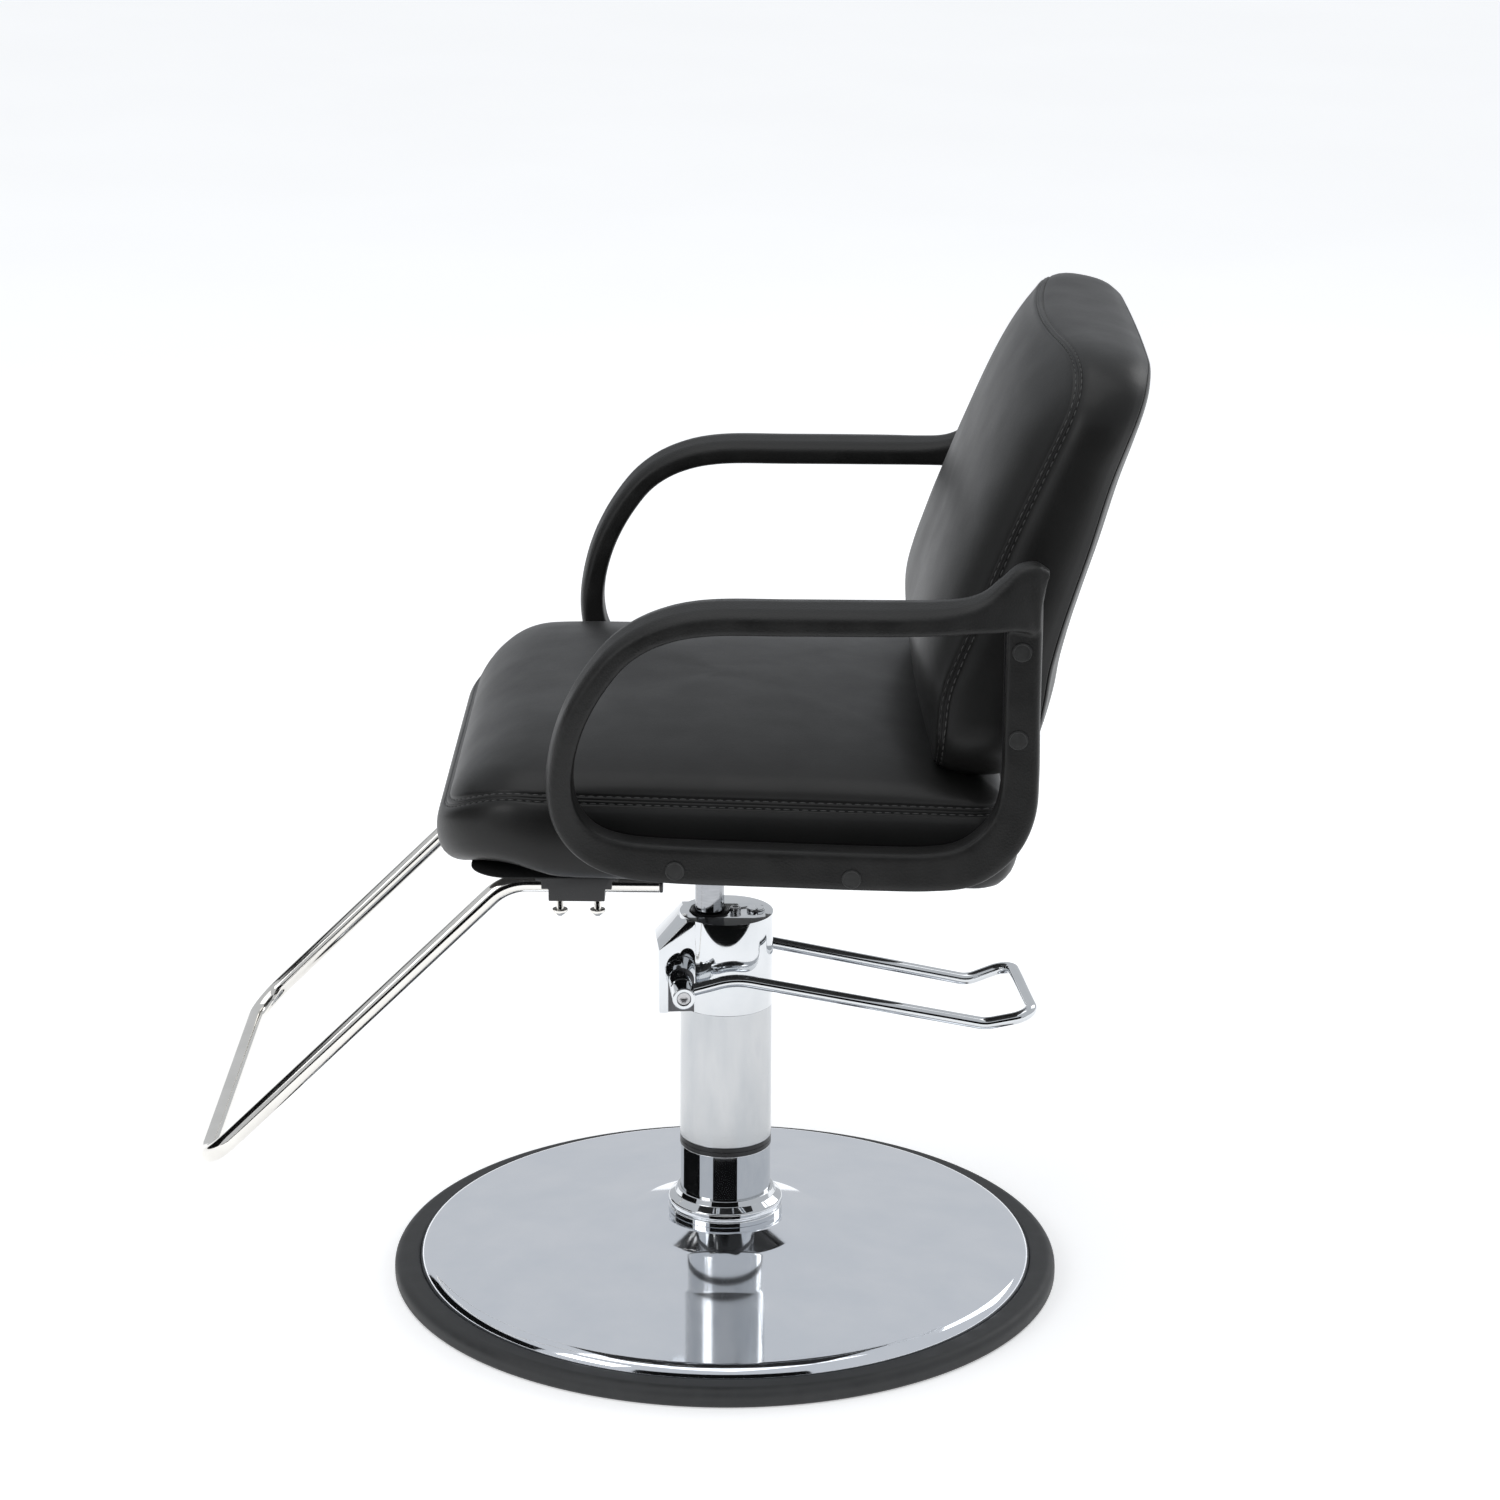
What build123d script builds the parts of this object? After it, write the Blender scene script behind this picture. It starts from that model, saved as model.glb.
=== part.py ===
from build123d import *
from math import cos, radians, sin
import os

os.makedirs("parts", exist_ok=True)

# Styling chair, in millimetres. +Z is up, the floor is z = 0, and the Z axis is the
# axis of the piston rod, which the chair turns on. The sitter faces -Y.

# ---- driving dimensions --------------------------------------------------------
pump_yaw = 6.0              # the pump stands turned by this on its base, in degrees
rod_offset = 15.0           # the rod stands this far in front of the column's axis

base_radius = 300.0         # outside of the rubber ring
ring_height = 17.0
rim_radius = 277.0          # turned-down rim of the steel pressing
base_top = 57.0             # flat middle of the pressing
base_flat_radius = 62.0
dish_profile = [(90, 48.3), (150, 38.8), (277, 25.2)]   # radius and height of the outside
sheet = 3.0

column_radius = 40.5        # lower tube
sleeve_radius = 41.0
head_radius = 41.5
foot_top = 64.0
lower_tube_top = 121.0
sleeve_bottom = 129.4
head_bottom = 256.0
head_top = 341.0
cheek_half_width = 28.5
cheek_front = -62.0
bore_radius = 18.0          # pressure cylinder
rod_radius = 13.0
rod_bottom = 101.0
rod_top = 446.0

pivot_y = -44.0             # pedal shaft, in the pump's own frame
pivot_z = 286.5
shaft_radius = 7.0
hub_radius = 10.0
hub_inner = 29.5
hub_outer = 77.0
pedal_rod_radius = 5.5
finger_length = 8.0         # the cam's nose stands this far in front of the shaft
nose_rise = 9.5             # and this far above it
run_gap = 0.05              # radial clearance of a running fit
free_gap = 0.3              # between pieces that move past each other

seat_half_width = 268.5
seat_front = -225.0
seat_back = 245.0
seat_bottom = 452.0
board_thickness = 15.0
rail_top = 490.0

back_tilt = 15.3            # degrees from upright
back_bottom = 540.0
back_top = 905.0
back_half_width = 248.0

arm_inner = 272.0
arm_post_outer = 300.0
arm_strap_outer = 332.5
arm_top = 706.0
arm_tip = 739.0
core_thickness = 5.0
cap_radius = 8.0
# centres of the four arm screws, as (y, z)
seat_screws = [(-23.0, 478.5), (120.0, 472.7)]
back_screws = [(252.0, 591.0), (253.4, 664.0)]
screw_radius = 4.0

footrest_radius = 8.0
footrest_half_width = 194.0
footrest_front = -429.0
footrest_low = 174.5
footrest_high = 432.0
footrest_rear = -38.0
footrest_drop = 44.5        # slope of the side tubes, in degrees
bracket_rear = -72.0
bracket_front = -142.0
footrest_screw_rows = (-122.0, -90.5)

# ---- planes and axes -----------------------------------------------------------
yaw = radians(pump_yaw)
pump_origin = (-rod_offset * sin(yaw), rod_offset * cos(yaw), 0)
pump_floor = Plane(origin=pump_origin, x_dir=(cos(yaw), sin(yaw), 0), z_dir=(0, 0, 1))
pump_side = Plane(origin=pump_origin, x_dir=(-sin(yaw), cos(yaw), 0), z_dir=(cos(yaw), sin(yaw), 0))
column_axis = Axis(pump_origin, (0, 0, 1))
pedal_plane = Plane(origin=pump_side.from_local_coords(Vector(pivot_y, pivot_z, 0)),
                    x_dir=pump_side.x_dir, z_dir=pump_side.z_dir)
chair_side = Plane.YZ       # sketch x is Y, sketch y is Z
rod_half = Plane.XZ         # sketch x is the radius, sketch y is Z


# ---- base ----------------------------------------------------------------------
with BuildPart() as base_plate:
    with BuildSketch(pump_side):
        with BuildLine():
            outside = FilletPolyline(
                (0, base_top), (base_flat_radius, base_top), *dish_profile,
                (rim_radius, 4), radius=(12, 60, 120, 17))
            inside = FilletPolyline(
                (0, base_top - sheet), (base_flat_radius - 0.5, base_top - sheet),
                *[(min(r, rim_radius - sheet), z - sheet) for r, z in dish_profile],
                (rim_radius - sheet, 4), radius=(15, 57, 117, 14))
            Line(outside @ 0, inside @ 0)
            Line(outside @ 1, inside @ 1)
        make_face()
    revolve(axis=column_axis)
    with Locations(pump_floor.offset(base_top)):
        with PolarLocations(32, 4, start_angle=45):
            Hole(5.3)
base_plate.part.label = "base_plate"
export_step(base_plate.part, "parts/base_plate.step")

with BuildPart() as base_rubber_ring:
    with BuildSketch(pump_side):
        with BuildLine():
            FilletPolyline(
                (268, 0), (base_radius, 0), (base_radius, ring_height), (rim_radius, ring_height),
                (rim_radius, ring_height - 8), radius=(4, 9, 4))
            Polyline(
                (rim_radius, ring_height - 8), (rim_radius, 4), (rim_radius - sheet, 4),
                (rim_radius - sheet, 6), (268, 6), (268, 0))
        make_face()
    revolve(axis=column_axis)
base_rubber_ring.part.label = "base_rubber_ring"
export_step(base_rubber_ring.part, "parts/base_rubber_ring.step")

with BuildPart() as base_reinforcing_plate:
    with BuildSketch(pump_floor.offset(base_top - sheet - 5)):
        Circle(56)
        with PolarLocations(32, 4, start_angle=45):
            Circle(5.3, mode=Mode.SUBTRACT)
    extrude(amount=5)
base_reinforcing_plate.part.label = "base_reinforcing_plate"
export_step(base_reinforcing_plate.part, "parts/base_reinforcing_plate.step")

bolt_head_z = base_top - sheet - 5
with BuildPart() as pump_mount_bolts:
    with BuildSketch(pump_floor.offset(bolt_head_z - 6.4)):
        with PolarLocations(32, 4, start_angle=45):
            RegularPolygon(8.5, 6, major_radius=False)
    extrude(amount=6.4)
    with BuildSketch(pump_floor.offset(bolt_head_z)):
        with PolarLocations(32, 4, start_angle=45):
            Circle(4.95)
    extrude(amount=17)
pump_mount_bolts.part.label = "pump_mount_bolts"
export_step(pump_mount_bolts.part, "parts/pump_mount_bolts.step")

with BuildPart() as pump_lower_tube:
    with BuildSketch(pump_side):
        Polygon(
            (0, base_top), (48, base_top), (48, foot_top), (column_radius, foot_top),
            (column_radius, lower_tube_top), (37.5, lower_tube_top), (37.5, 71), (0, 71),
            align=None)
    revolve(axis=column_axis)
    with BuildSketch(pump_floor.offset(base_top)):
        with PolarLocations(32, 4, start_angle=45):
            Circle(5)
    extrude(amount=12, mode=Mode.SUBTRACT)
pump_lower_tube.part.label = "pump_lower_tube"
export_step(pump_lower_tube.part, "parts/pump_lower_tube.step")

with BuildPart() as base_collar:
    with BuildSketch(pump_side):
        with BuildLine():
            FilletPolyline(
                (49, base_top), (51.5, base_top), (51.5, 62), (50.3, 62.6), (50.3, 63.4), (51.5, 64),
                (51.5, 69), (44.5, 75.5), (43, 79), (column_radius + 0.1, 79),
                radius=(0.3, 0.4, 0.3, 0.3, 0.4, 1.5, 2, 0.8))
            Polyline(
                (column_radius + 0.1, 79), (column_radius + 0.1, foot_top + 2),
                (49, foot_top + 1), (49, base_top))
        make_face()
    revolve(axis=column_axis)
base_collar.part.label = "base_collar"
export_step(base_collar.part, "parts/base_collar.step")

# ---- column --------------------------------------------------------------------
with BuildPart() as seal_band:
    with BuildSketch(pump_side):
        Polygon(
            (37.5, lower_tube_top), (sleeve_radius, lower_tube_top), (sleeve_radius, 124.4),
            (sleeve_radius - 0.6, 125), (sleeve_radius - 0.6, 125.6), (sleeve_radius, 126.2),
            (sleeve_radius, sleeve_bottom), (37.5, sleeve_bottom), align=None)
    revolve(axis=column_axis)
seal_band.part.label = "seal_band"
export_step(seal_band.part, "parts/seal_band.step")

with BuildPart() as pump_sleeve:
    with BuildSketch(pump_floor.offset(sleeve_bottom)):
        Circle(sleeve_radius)
        Circle(37.5, mode=Mode.SUBTRACT)
    extrude(amount=head_bottom - sleeve_bottom)
    chamfer(pump_sleeve.edges().filter_by(GeomType.CIRCLE).sort_by(SortBy.RADIUS)[-2:], length=0.6)
pump_sleeve.part.label = "pump_sleeve"
export_step(pump_sleeve.part, "parts/pump_sleeve.step")

# The cover is a shell over the casting: a cylinder with two flat cheeks in front.
cover_wall = 2.5
slot_centre = -42.6
slot_radius = 11.5
plug_y = 26.0
screw_y = 8.0


def cheek_outline(inset):
    """Side outline of the cheeks, drawn inwards by inset."""
    slope = inset * 0.41
    return [(0, head_bottom), (cheek_front + inset, head_bottom),
            (cheek_front + inset, 314.8 - slope), (-37.5 + slope, head_top - 0.5 - inset),
            (0, head_top - 0.5 - inset)]


with BuildPart() as pump_head_cover:
    with BuildSketch(pump_floor.offset(head_bottom)):
        Circle(head_radius)
    extrude(amount=head_top - head_bottom)
    fillet(pump_head_cover.edges().group_by(Axis.Z)[-1], radius=2)
    with BuildSketch(pump_side):
        Polygon(*cheek_outline(0), align=None)
    extrude(amount=cheek_half_width, both=True)
    with BuildSketch(pump_floor.offset(head_bottom)):
        Circle(head_radius - cover_wall)
    extrude(amount=head_top - cover_wall - head_bottom, mode=Mode.SUBTRACT)
    with BuildSketch(pump_side):
        Polygon(*cheek_outline(cover_wall), align=None)
    extrude(amount=cheek_half_width - cover_wall, both=True, mode=Mode.SUBTRACT)
    with BuildSketch(pump_side):
        with Locations((slot_centre, pivot_z)):
            Circle(slot_radius)
            Rectangle(2 * slot_radius, pivot_z - head_bottom, align=(Align.CENTER, Align.MAX))
    extrude(amount=cheek_half_width, both=True, mode=Mode.SUBTRACT)
    with BuildSketch(pump_floor.offset(head_top - 10)):
        with Locations((0, -rod_offset)):
            Circle(18.2)
        with Locations((0, screw_y)):
            Circle(4.2)
        with Locations((0, plug_y)):
            Circle(7.2)
    extrude(amount=10, mode=Mode.SUBTRACT)
pump_head_cover.part.label = "pump_head_cover"
export_step(pump_head_cover.part, "parts/pump_head_cover.step")

# The casting carries the rod's guide, the pedal shaft in two ears, and the plunger.
casting_radius = head_radius - cover_wall - 0.5
ear_outer = cheek_half_width - cover_wall - 0.5
ear_inner = 12.0
plunger_y = pivot_y - 4
barrel_bottom = 308.0
with BuildPart() as pump_head:
    with BuildSketch(pump_floor.offset(head_bottom)):
        Circle(casting_radius)
    extrude(amount=head_top - cover_wall - head_bottom - 0.3)
    with BuildSketch(pump_side):
        Polygon(*cheek_outline(cover_wall + 0.6), align=None)
    extrude(amount=ear_outer, both=True)
    with BuildSketch(pump_side):
        Polygon((cheek_front, head_bottom), (-32, head_bottom), (-32, barrel_bottom),
                (cheek_front, barrel_bottom), align=None)
    extrude(amount=ear_inner, both=True, mode=Mode.SUBTRACT)
    with BuildSketch(pump_floor.offset(head_bottom)):
        with Locations((0, -rod_offset)):
            Circle(21.1)
    extrude(amount=12, mode=Mode.SUBTRACT)
    with BuildSketch(pump_floor.offset(head_bottom)):
        with Locations((0, -rod_offset)):
            Circle(rod_radius + 1)
    extrude(amount=44, mode=Mode.SUBTRACT)
    with BuildSketch(pump_floor.offset(300)):
        with Locations((0, -rod_offset)):
            Circle(17)
    extrude(amount=40, mode=Mode.SUBTRACT)
    with BuildSketch(pump_floor.offset(barrel_bottom)):
        with Locations((0, plunger_y)):
            Circle(4 + run_gap)
    extrude(amount=13.5, mode=Mode.SUBTRACT)
    with BuildSketch(pedal_plane):
        Circle(shaft_radius + run_gap)
    extrude(amount=ear_outer, both=True, mode=Mode.SUBTRACT)
    with BuildSketch(pump_floor.offset(325)):
        with Locations((0, screw_y)):
            Circle(3)
        with Locations((0, plug_y)):
            Circle(6)
    extrude(amount=20, mode=Mode.SUBTRACT)
pump_head.part.label = "pump_head"
export_step(pump_head.part, "parts/pump_head.step")

with BuildPart() as pressure_cylinder:
    with BuildSketch(Plane.XY.offset(71)):
        Circle(21)
    extrude(amount=head_bottom + 12 - 71)
    with BuildSketch(Plane.XY.offset(77)):
        Circle(bore_radius)
    extrude(amount=head_bottom + 12 - 77, mode=Mode.SUBTRACT)
pressure_cylinder.part.label = "pressure_cylinder"
export_step(pressure_cylinder.part, "parts/pressure_cylinder.step")

with BuildPart() as rod_guide_bush:
    with BuildSketch(Plane.XY.offset(300)):
        Circle(17)
        Circle(rod_radius + run_gap, mode=Mode.SUBTRACT)
    extrude(amount=32)
rod_guide_bush.part.label = "rod_guide_bush"
export_step(rod_guide_bush.part, "parts/rod_guide_bush.step")

with BuildPart() as rod_wiper_seal:
    with BuildSketch(rod_half):
        Polygon((rod_radius + run_gap, 332), (17, 332), (17, head_top + 0.6), (15.8, head_top + 1.4),
                (rod_radius + run_gap, head_top - 1), align=None)
    revolve(axis=Axis.Z)
rod_wiper_seal.part.label = "rod_wiper_seal"
export_step(rod_wiper_seal.part, "parts/rod_wiper_seal.step")

with BuildPart() as bleed_screw:
    with BuildSketch(pump_floor.offset(325)):
        with Locations((0, screw_y)):
            Circle(2.95)
    extrude(amount=head_top - 325)
    with BuildSketch(pump_floor.offset(head_top)):
        with Locations((0, screw_y)):
            Circle(5)
    extrude(amount=3)
    with BuildSketch(pump_floor.offset(head_top + 1)):
        with Locations((0, screw_y)):
            RegularPolygon(2, 6, major_radius=False)
    extrude(amount=2, mode=Mode.SUBTRACT)
bleed_screw.part.label = "bleed_screw"
export_step(bleed_screw.part, "parts/bleed_screw.step")

with BuildPart() as oil_filler_plug:
    with BuildSketch(pump_floor.offset(325)):
        with Locations((0, plug_y)):
            Circle(5.95)
    extrude(amount=head_top - 325)
    with BuildSketch(pump_floor.offset(head_top)):
        with Locations((0, plug_y)):
            Circle(8)
    extrude(amount=2)
    with BuildSketch(pump_floor.offset(head_top + 1)):
        with Locations((0, plug_y)):
            Rectangle(11, 1.8)
    extrude(amount=1, mode=Mode.SUBTRACT)
oil_filler_plug.part.label = "oil_filler_plug"
export_step(oil_filler_plug.part, "parts/oil_filler_plug.step")

# ---- pedal and plunger ---------------------------------------------------------
with BuildPart() as pedal_shaft:
    with BuildSketch(pedal_plane):
        Circle(shaft_radius)
    extrude(amount=hub_outer - 9, both=True)
pedal_shaft.part.label = "pedal_shaft"
export_step(pedal_shaft.part, "parts/pedal_shaft.step")

# The nose stands in front of the shaft, so that it rises as the loop goes down.
nose_radius = 3.5
with BuildPart() as pedal_cam:
    with BuildSketch(pedal_plane):
        Circle(10.5)
        with Locations((-finger_length, nose_rise)):
            Circle(nose_radius)
        Circle(shaft_radius, mode=Mode.SUBTRACT)
    extrude(amount=ear_inner - 2, both=True)
pedal_cam.part.label = "pedal_cam"
export_step(pedal_cam.part, "parts/pedal_cam.step")

plunger_bottom = pivot_z + nose_rise + nose_radius + 2 * free_gap
plunger_radius = 4.0
plunger_length = 18.0
collar_height = 2.0
with BuildPart() as pump_plunger:
    with BuildSketch(pump_floor.offset(plunger_bottom)):
        with Locations((0, plunger_y)):
            Circle(6.3)
    extrude(amount=collar_height)
    with BuildSketch(pump_floor.offset(plunger_bottom)):
        with Locations((0, plunger_y)):
            Circle(plunger_radius)
    extrude(amount=plunger_length)
pump_plunger.part.label = "pump_plunger"
export_step(pump_plunger.part, "parts/pump_plunger.step")

spring_foot = plunger_bottom + collar_height
spring_radius = 5.3
spring_wire = 0.4
spring_seat = Plane(
    origin=pump_floor.from_local_coords(Vector(0, plunger_y, spring_foot + spring_wire)),
    x_dir=pump_floor.x_dir, z_dir=(0, 0, 1))
with BuildPart() as plunger_spring:
    with BuildLine(spring_seat) as coil:
        Helix(pitch=1.7, height=barrel_bottom - spring_foot - 2 * spring_wire - 0.1,
              radius=spring_radius)
    with BuildSketch(Plane(origin=coil.line @ 0, z_dir=coil.line % 0)):
        Circle(spring_wire)
    sweep(is_frenet=True)
plunger_spring.part.label = "plunger_spring"
export_step(plunger_spring.part, "parts/plunger_spring.step")

set_screw_seat = Plane(
    origin=pump_floor.from_local_coords(Vector(40, pivot_y, pivot_z + shaft_radius)),
    x_dir=pump_floor.x_dir, z_dir=(0, 0, 1))
with BuildPart() as pedal_hubs:
    with BuildSketch(pedal_plane.offset(hub_inner)):
        Circle(hub_radius)
        Circle(shaft_radius, mode=Mode.SUBTRACT)
    extrude(amount=hub_outer - 9 - hub_inner)
    with BuildSketch(pedal_plane.offset(hub_outer - 9)):
        Circle(hub_radius)
        Circle(6, mode=Mode.SUBTRACT)
    extrude(amount=9)
    with BuildSketch(pedal_plane.offset(52)):
        Circle(hub_radius)
        Circle(hub_radius - 1, mode=Mode.SUBTRACT)
    extrude(amount=2.4, mode=Mode.SUBTRACT)
    with BuildSketch(set_screw_seat):
        Circle(2.5)
    extrude(amount=10, mode=Mode.SUBTRACT)
    mirror(about=pump_side)
pedal_hubs.part.label = "pedal_hubs"
export_step(pedal_hubs.part, "parts/pedal_hubs.step")

# The loop leaves the hubs, rises a little, runs down beside the column and kinks up
# at its rear bar. Points are in the pump's frame.
loop_points = [(61, pivot_y, pivot_z), (61, 2, 298), (57.5, 226, 248), (67, 268, 259)]
with BuildPart() as pedal_loop:
    with BuildLine(pump_floor) as loop_path:
        FilletPolyline(*loop_points, *[(-x, y, z) for x, y, z in reversed(loop_points)],
                       radius=(60, 28, 16, 16, 28, 60))
    with BuildSketch(Plane(origin=loop_path.line @ 0, z_dir=loop_path.line % 0)):
        Circle(pedal_rod_radius)
    sweep()
    with BuildSketch(pedal_plane):
        Circle(hub_radius)
    extrude(amount=hub_outer + 5, both=True, mode=Mode.SUBTRACT)
pedal_loop.part.label = "pedal_loop"
export_step(pedal_loop.part, "parts/pedal_loop.step")

with BuildPart() as pedal_end_screws:
    with BuildSketch(pedal_plane.offset(hub_outer - 9)):
        Circle(6)
    extrude(amount=8)
    with BuildSketch(pedal_plane.offset(hub_outer - 5)):
        RegularPolygon(3, 6, major_radius=False)
    extrude(amount=4, mode=Mode.SUBTRACT)
    mirror(about=pump_side)
pedal_end_screws.part.label = "pedal_end_screws"
export_step(pedal_end_screws.part, "parts/pedal_end_screws.step")

with BuildPart() as pedal_set_screws:
    with BuildSketch(set_screw_seat):
        Circle(2.5)
    extrude(amount=4)
    with BuildSketch(set_screw_seat.offset(2.5)):
        RegularPolygon(1.3, 6, major_radius=False)
    extrude(amount=1.5, mode=Mode.SUBTRACT)
    mirror(about=pump_side)
pedal_set_screws.part.label = "pedal_set_screws"
export_step(pedal_set_screws.part, "parts/pedal_set_screws.step")

# ---- lift ----------------------------------------------------------------------
piston_bottom = 78.0
with BuildPart() as lift_piston:
    with BuildSketch(rod_half):
        Polygon((0, piston_bottom), (17.8, piston_bottom), (17.8, 84), (15.5, 84), (15.5, 90),
                (17.8, 90), (17.8, 96), (6 + run_gap, 96), (6 + run_gap, 86), (0, 86), align=None)
    revolve(axis=Axis.Z)
lift_piston.part.label = "lift_piston"
export_step(lift_piston.part, "parts/lift_piston.step")

with BuildPart() as piston_seal:
    with BuildSketch(Plane.XY.offset(84)):
        Circle(bore_radius - run_gap)
        Circle(15.5, mode=Mode.SUBTRACT)
    extrude(amount=6)
piston_seal.part.label = "piston_seal"
export_step(piston_seal.part, "parts/piston_seal.step")

with BuildPart() as thrust_bearing:
    with BuildSketch(Plane.XY.offset(96)):
        Circle(14)
        Circle(6.5, mode=Mode.SUBTRACT)
    extrude(amount=rod_bottom - free_gap - 96)
thrust_bearing.part.label = "thrust_bearing"
export_step(thrust_bearing.part, "parts/thrust_bearing.step")

with BuildPart() as piston_rod:
    with BuildSketch(Plane.XY.offset(86.5)):
        Circle(6)
    extrude(amount=rod_bottom - 86.5)
    with BuildSketch(Plane.XY.offset(rod_bottom)):
        Circle(rod_radius)
    extrude(amount=rod_top - rod_bottom)
    chamfer(piston_rod.edges().group_by(Axis.Z)[-1], length=1.5)
piston_rod.part.label = "piston_rod"
export_step(piston_rod.part, "parts/piston_rod.step")

# ---- seat ----------------------------------------------------------------------
plate_size = 190.0
plate_thickness = 4.0
plate_pitch = 160.0
with BuildPart() as seat_mount_plate:
    with BuildSketch(Plane.XY.offset(seat_bottom - plate_thickness)):
        RectangleRounded(plate_size, plate_size, 14)
        with GridLocations(plate_pitch, plate_pitch, 2, 2):
            Circle(4.5, mode=Mode.SUBTRACT)
    extrude(amount=plate_thickness)
    with BuildSketch(Plane.XY.offset(388)):
        Circle(19)
    extrude(amount=seat_bottom - plate_thickness - 388, taper=-3)
    with BuildSketch(Plane.XY.offset(388)):
        Circle(rod_radius)
    extrude(amount=rod_top - 388, mode=Mode.SUBTRACT)
seat_mount_plate.part.label = "seat_mount_plate"
export_step(seat_mount_plate.part, "parts/seat_mount_plate.step")

with BuildPart() as seat_plate_bolts:
    with BuildSketch(Plane.XY.offset(seat_bottom - plate_thickness - 5.3)):
        with GridLocations(plate_pitch, plate_pitch, 2, 2):
            RegularPolygon(6.5, 6, major_radius=False)
    extrude(amount=5.3)
    with BuildSketch(Plane.XY.offset(seat_bottom - plate_thickness)):
        with GridLocations(plate_pitch, plate_pitch, 2, 2):
            Circle(4)
    extrude(amount=plate_thickness + 12)
seat_plate_bolts.part.label = "seat_plate_bolts"
export_step(seat_plate_bolts.part, "parts/seat_plate_bolts.step")

board_half_width = 246.0
board_front = -200.0
board_rear = 228.0
rail_width = 22.0
board_middle = (board_front + board_rear) / 2
with BuildPart() as seat_board:
    with BuildSketch(Plane.XY.offset(seat_bottom)):
        with Locations((0, board_middle)):
            RectangleRounded(2 * board_half_width, board_rear - board_front, 40)
    extrude(amount=rail_top - seat_bottom)
    with BuildSketch(Plane.XY.offset(seat_bottom + board_thickness)):
        with Locations((0, board_middle)):
            Rectangle(2 * (board_half_width - rail_width), board_rear - board_front)
    extrude(amount=rail_top, mode=Mode.SUBTRACT)
    with BuildSketch(Plane.XY.offset(seat_bottom)):
        with GridLocations(plate_pitch, plate_pitch, 2, 2):
            Circle(4.1)
        for side in (-1, 1):
            for row in footrest_screw_rows:
                with Locations((side * footrest_half_width, row)):
                    Circle(3.1)
    extrude(amount=13, mode=Mode.SUBTRACT)
    with BuildSketch(chair_side):
        with Locations(*seat_screws):
            Circle(8)
    extrude(amount=board_half_width, both=True, mode=Mode.SUBTRACT)
seat_board.part.label = "seat_board"
export_step(seat_board.part, "parts/seat_board.step")

with BuildPart() as seat_cushion:
    with BuildSketch(chair_side):
        with BuildLine():
            Line((-172, seat_bottom), (seat_back - 12, seat_bottom))
            TangentArc((seat_back - 12, seat_bottom), (seat_back, seat_bottom + 12), tangent=(1, 0))
            Line((seat_back, seat_bottom + 12), (seat_back, 510))
            ThreePointArc((seat_back, 510), (seat_back - 8, 525), (seat_back - 25, 534))
            Spline((seat_back - 25, 534), (10, 550), (-190, 544), tangents=((-1, 0.2), (-1, -0.15)))
            ThreePointArc((-190, 544), (-215, 533), (seat_front, 500))
            ThreePointArc((seat_front, 500), (-212, 466), (-172, seat_bottom))
        make_face()
    extrude(amount=seat_half_width, both=True)
    with BuildSketch(Plane.XY.offset(seat_bottom)):
        with Locations((0, (seat_front + seat_back) / 2)):
            RectangleRounded(2 * seat_half_width, seat_back - seat_front, 64)
    extrude(amount=120, mode=Mode.INTERSECT)
    add(seat_board.part, mode=Mode.SUBTRACT)
    with BuildSketch(Plane.XY.offset(seat_bottom)):
        with Locations((0, board_middle)):
            RectangleRounded(2 * board_half_width, board_rear - board_front, 40)
    extrude(amount=board_thickness, mode=Mode.SUBTRACT)
    with BuildSketch(chair_side):
        with Locations(*seat_screws):
            Circle(8)
    extrude(amount=seat_half_width, both=True, mode=Mode.SUBTRACT)
seat_cushion.part.label = "seat_cushion"
export_step(seat_cushion.part, "parts/seat_cushion.step")

cover_sheet = 1.0
with BuildPart() as seat_bottom_cover:
    with BuildSketch(Plane.XY.offset(seat_bottom - cover_sheet)):
        with Locations((0, board_middle)):
            RectangleRounded(2 * board_half_width - 10, board_rear - board_front - 10, 36)
        Rectangle(plate_size + 2, plate_size + 2, mode=Mode.SUBTRACT)
        for side in (-1, 1):
            with Locations((side * footrest_half_width, (bracket_front + bracket_rear) / 2)):
                Rectangle(28, bracket_rear - bracket_front + 2, mode=Mode.SUBTRACT)
    extrude(amount=cover_sheet)
seat_bottom_cover.part.label = "seat_bottom_cover"
export_step(seat_bottom_cover.part, "parts/seat_bottom_cover.step")

# ---- back ----------------------------------------------------------------------
# The back leans by back_tilt. Outlines are drawn in the side view as (y, z).
lean = sin(radians(back_tilt)) / cos(radians(back_tilt))


def rear_y(z):
    """Y of the rear seam's plane at height z."""
    return 278 + lean * (z - 606)


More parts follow.
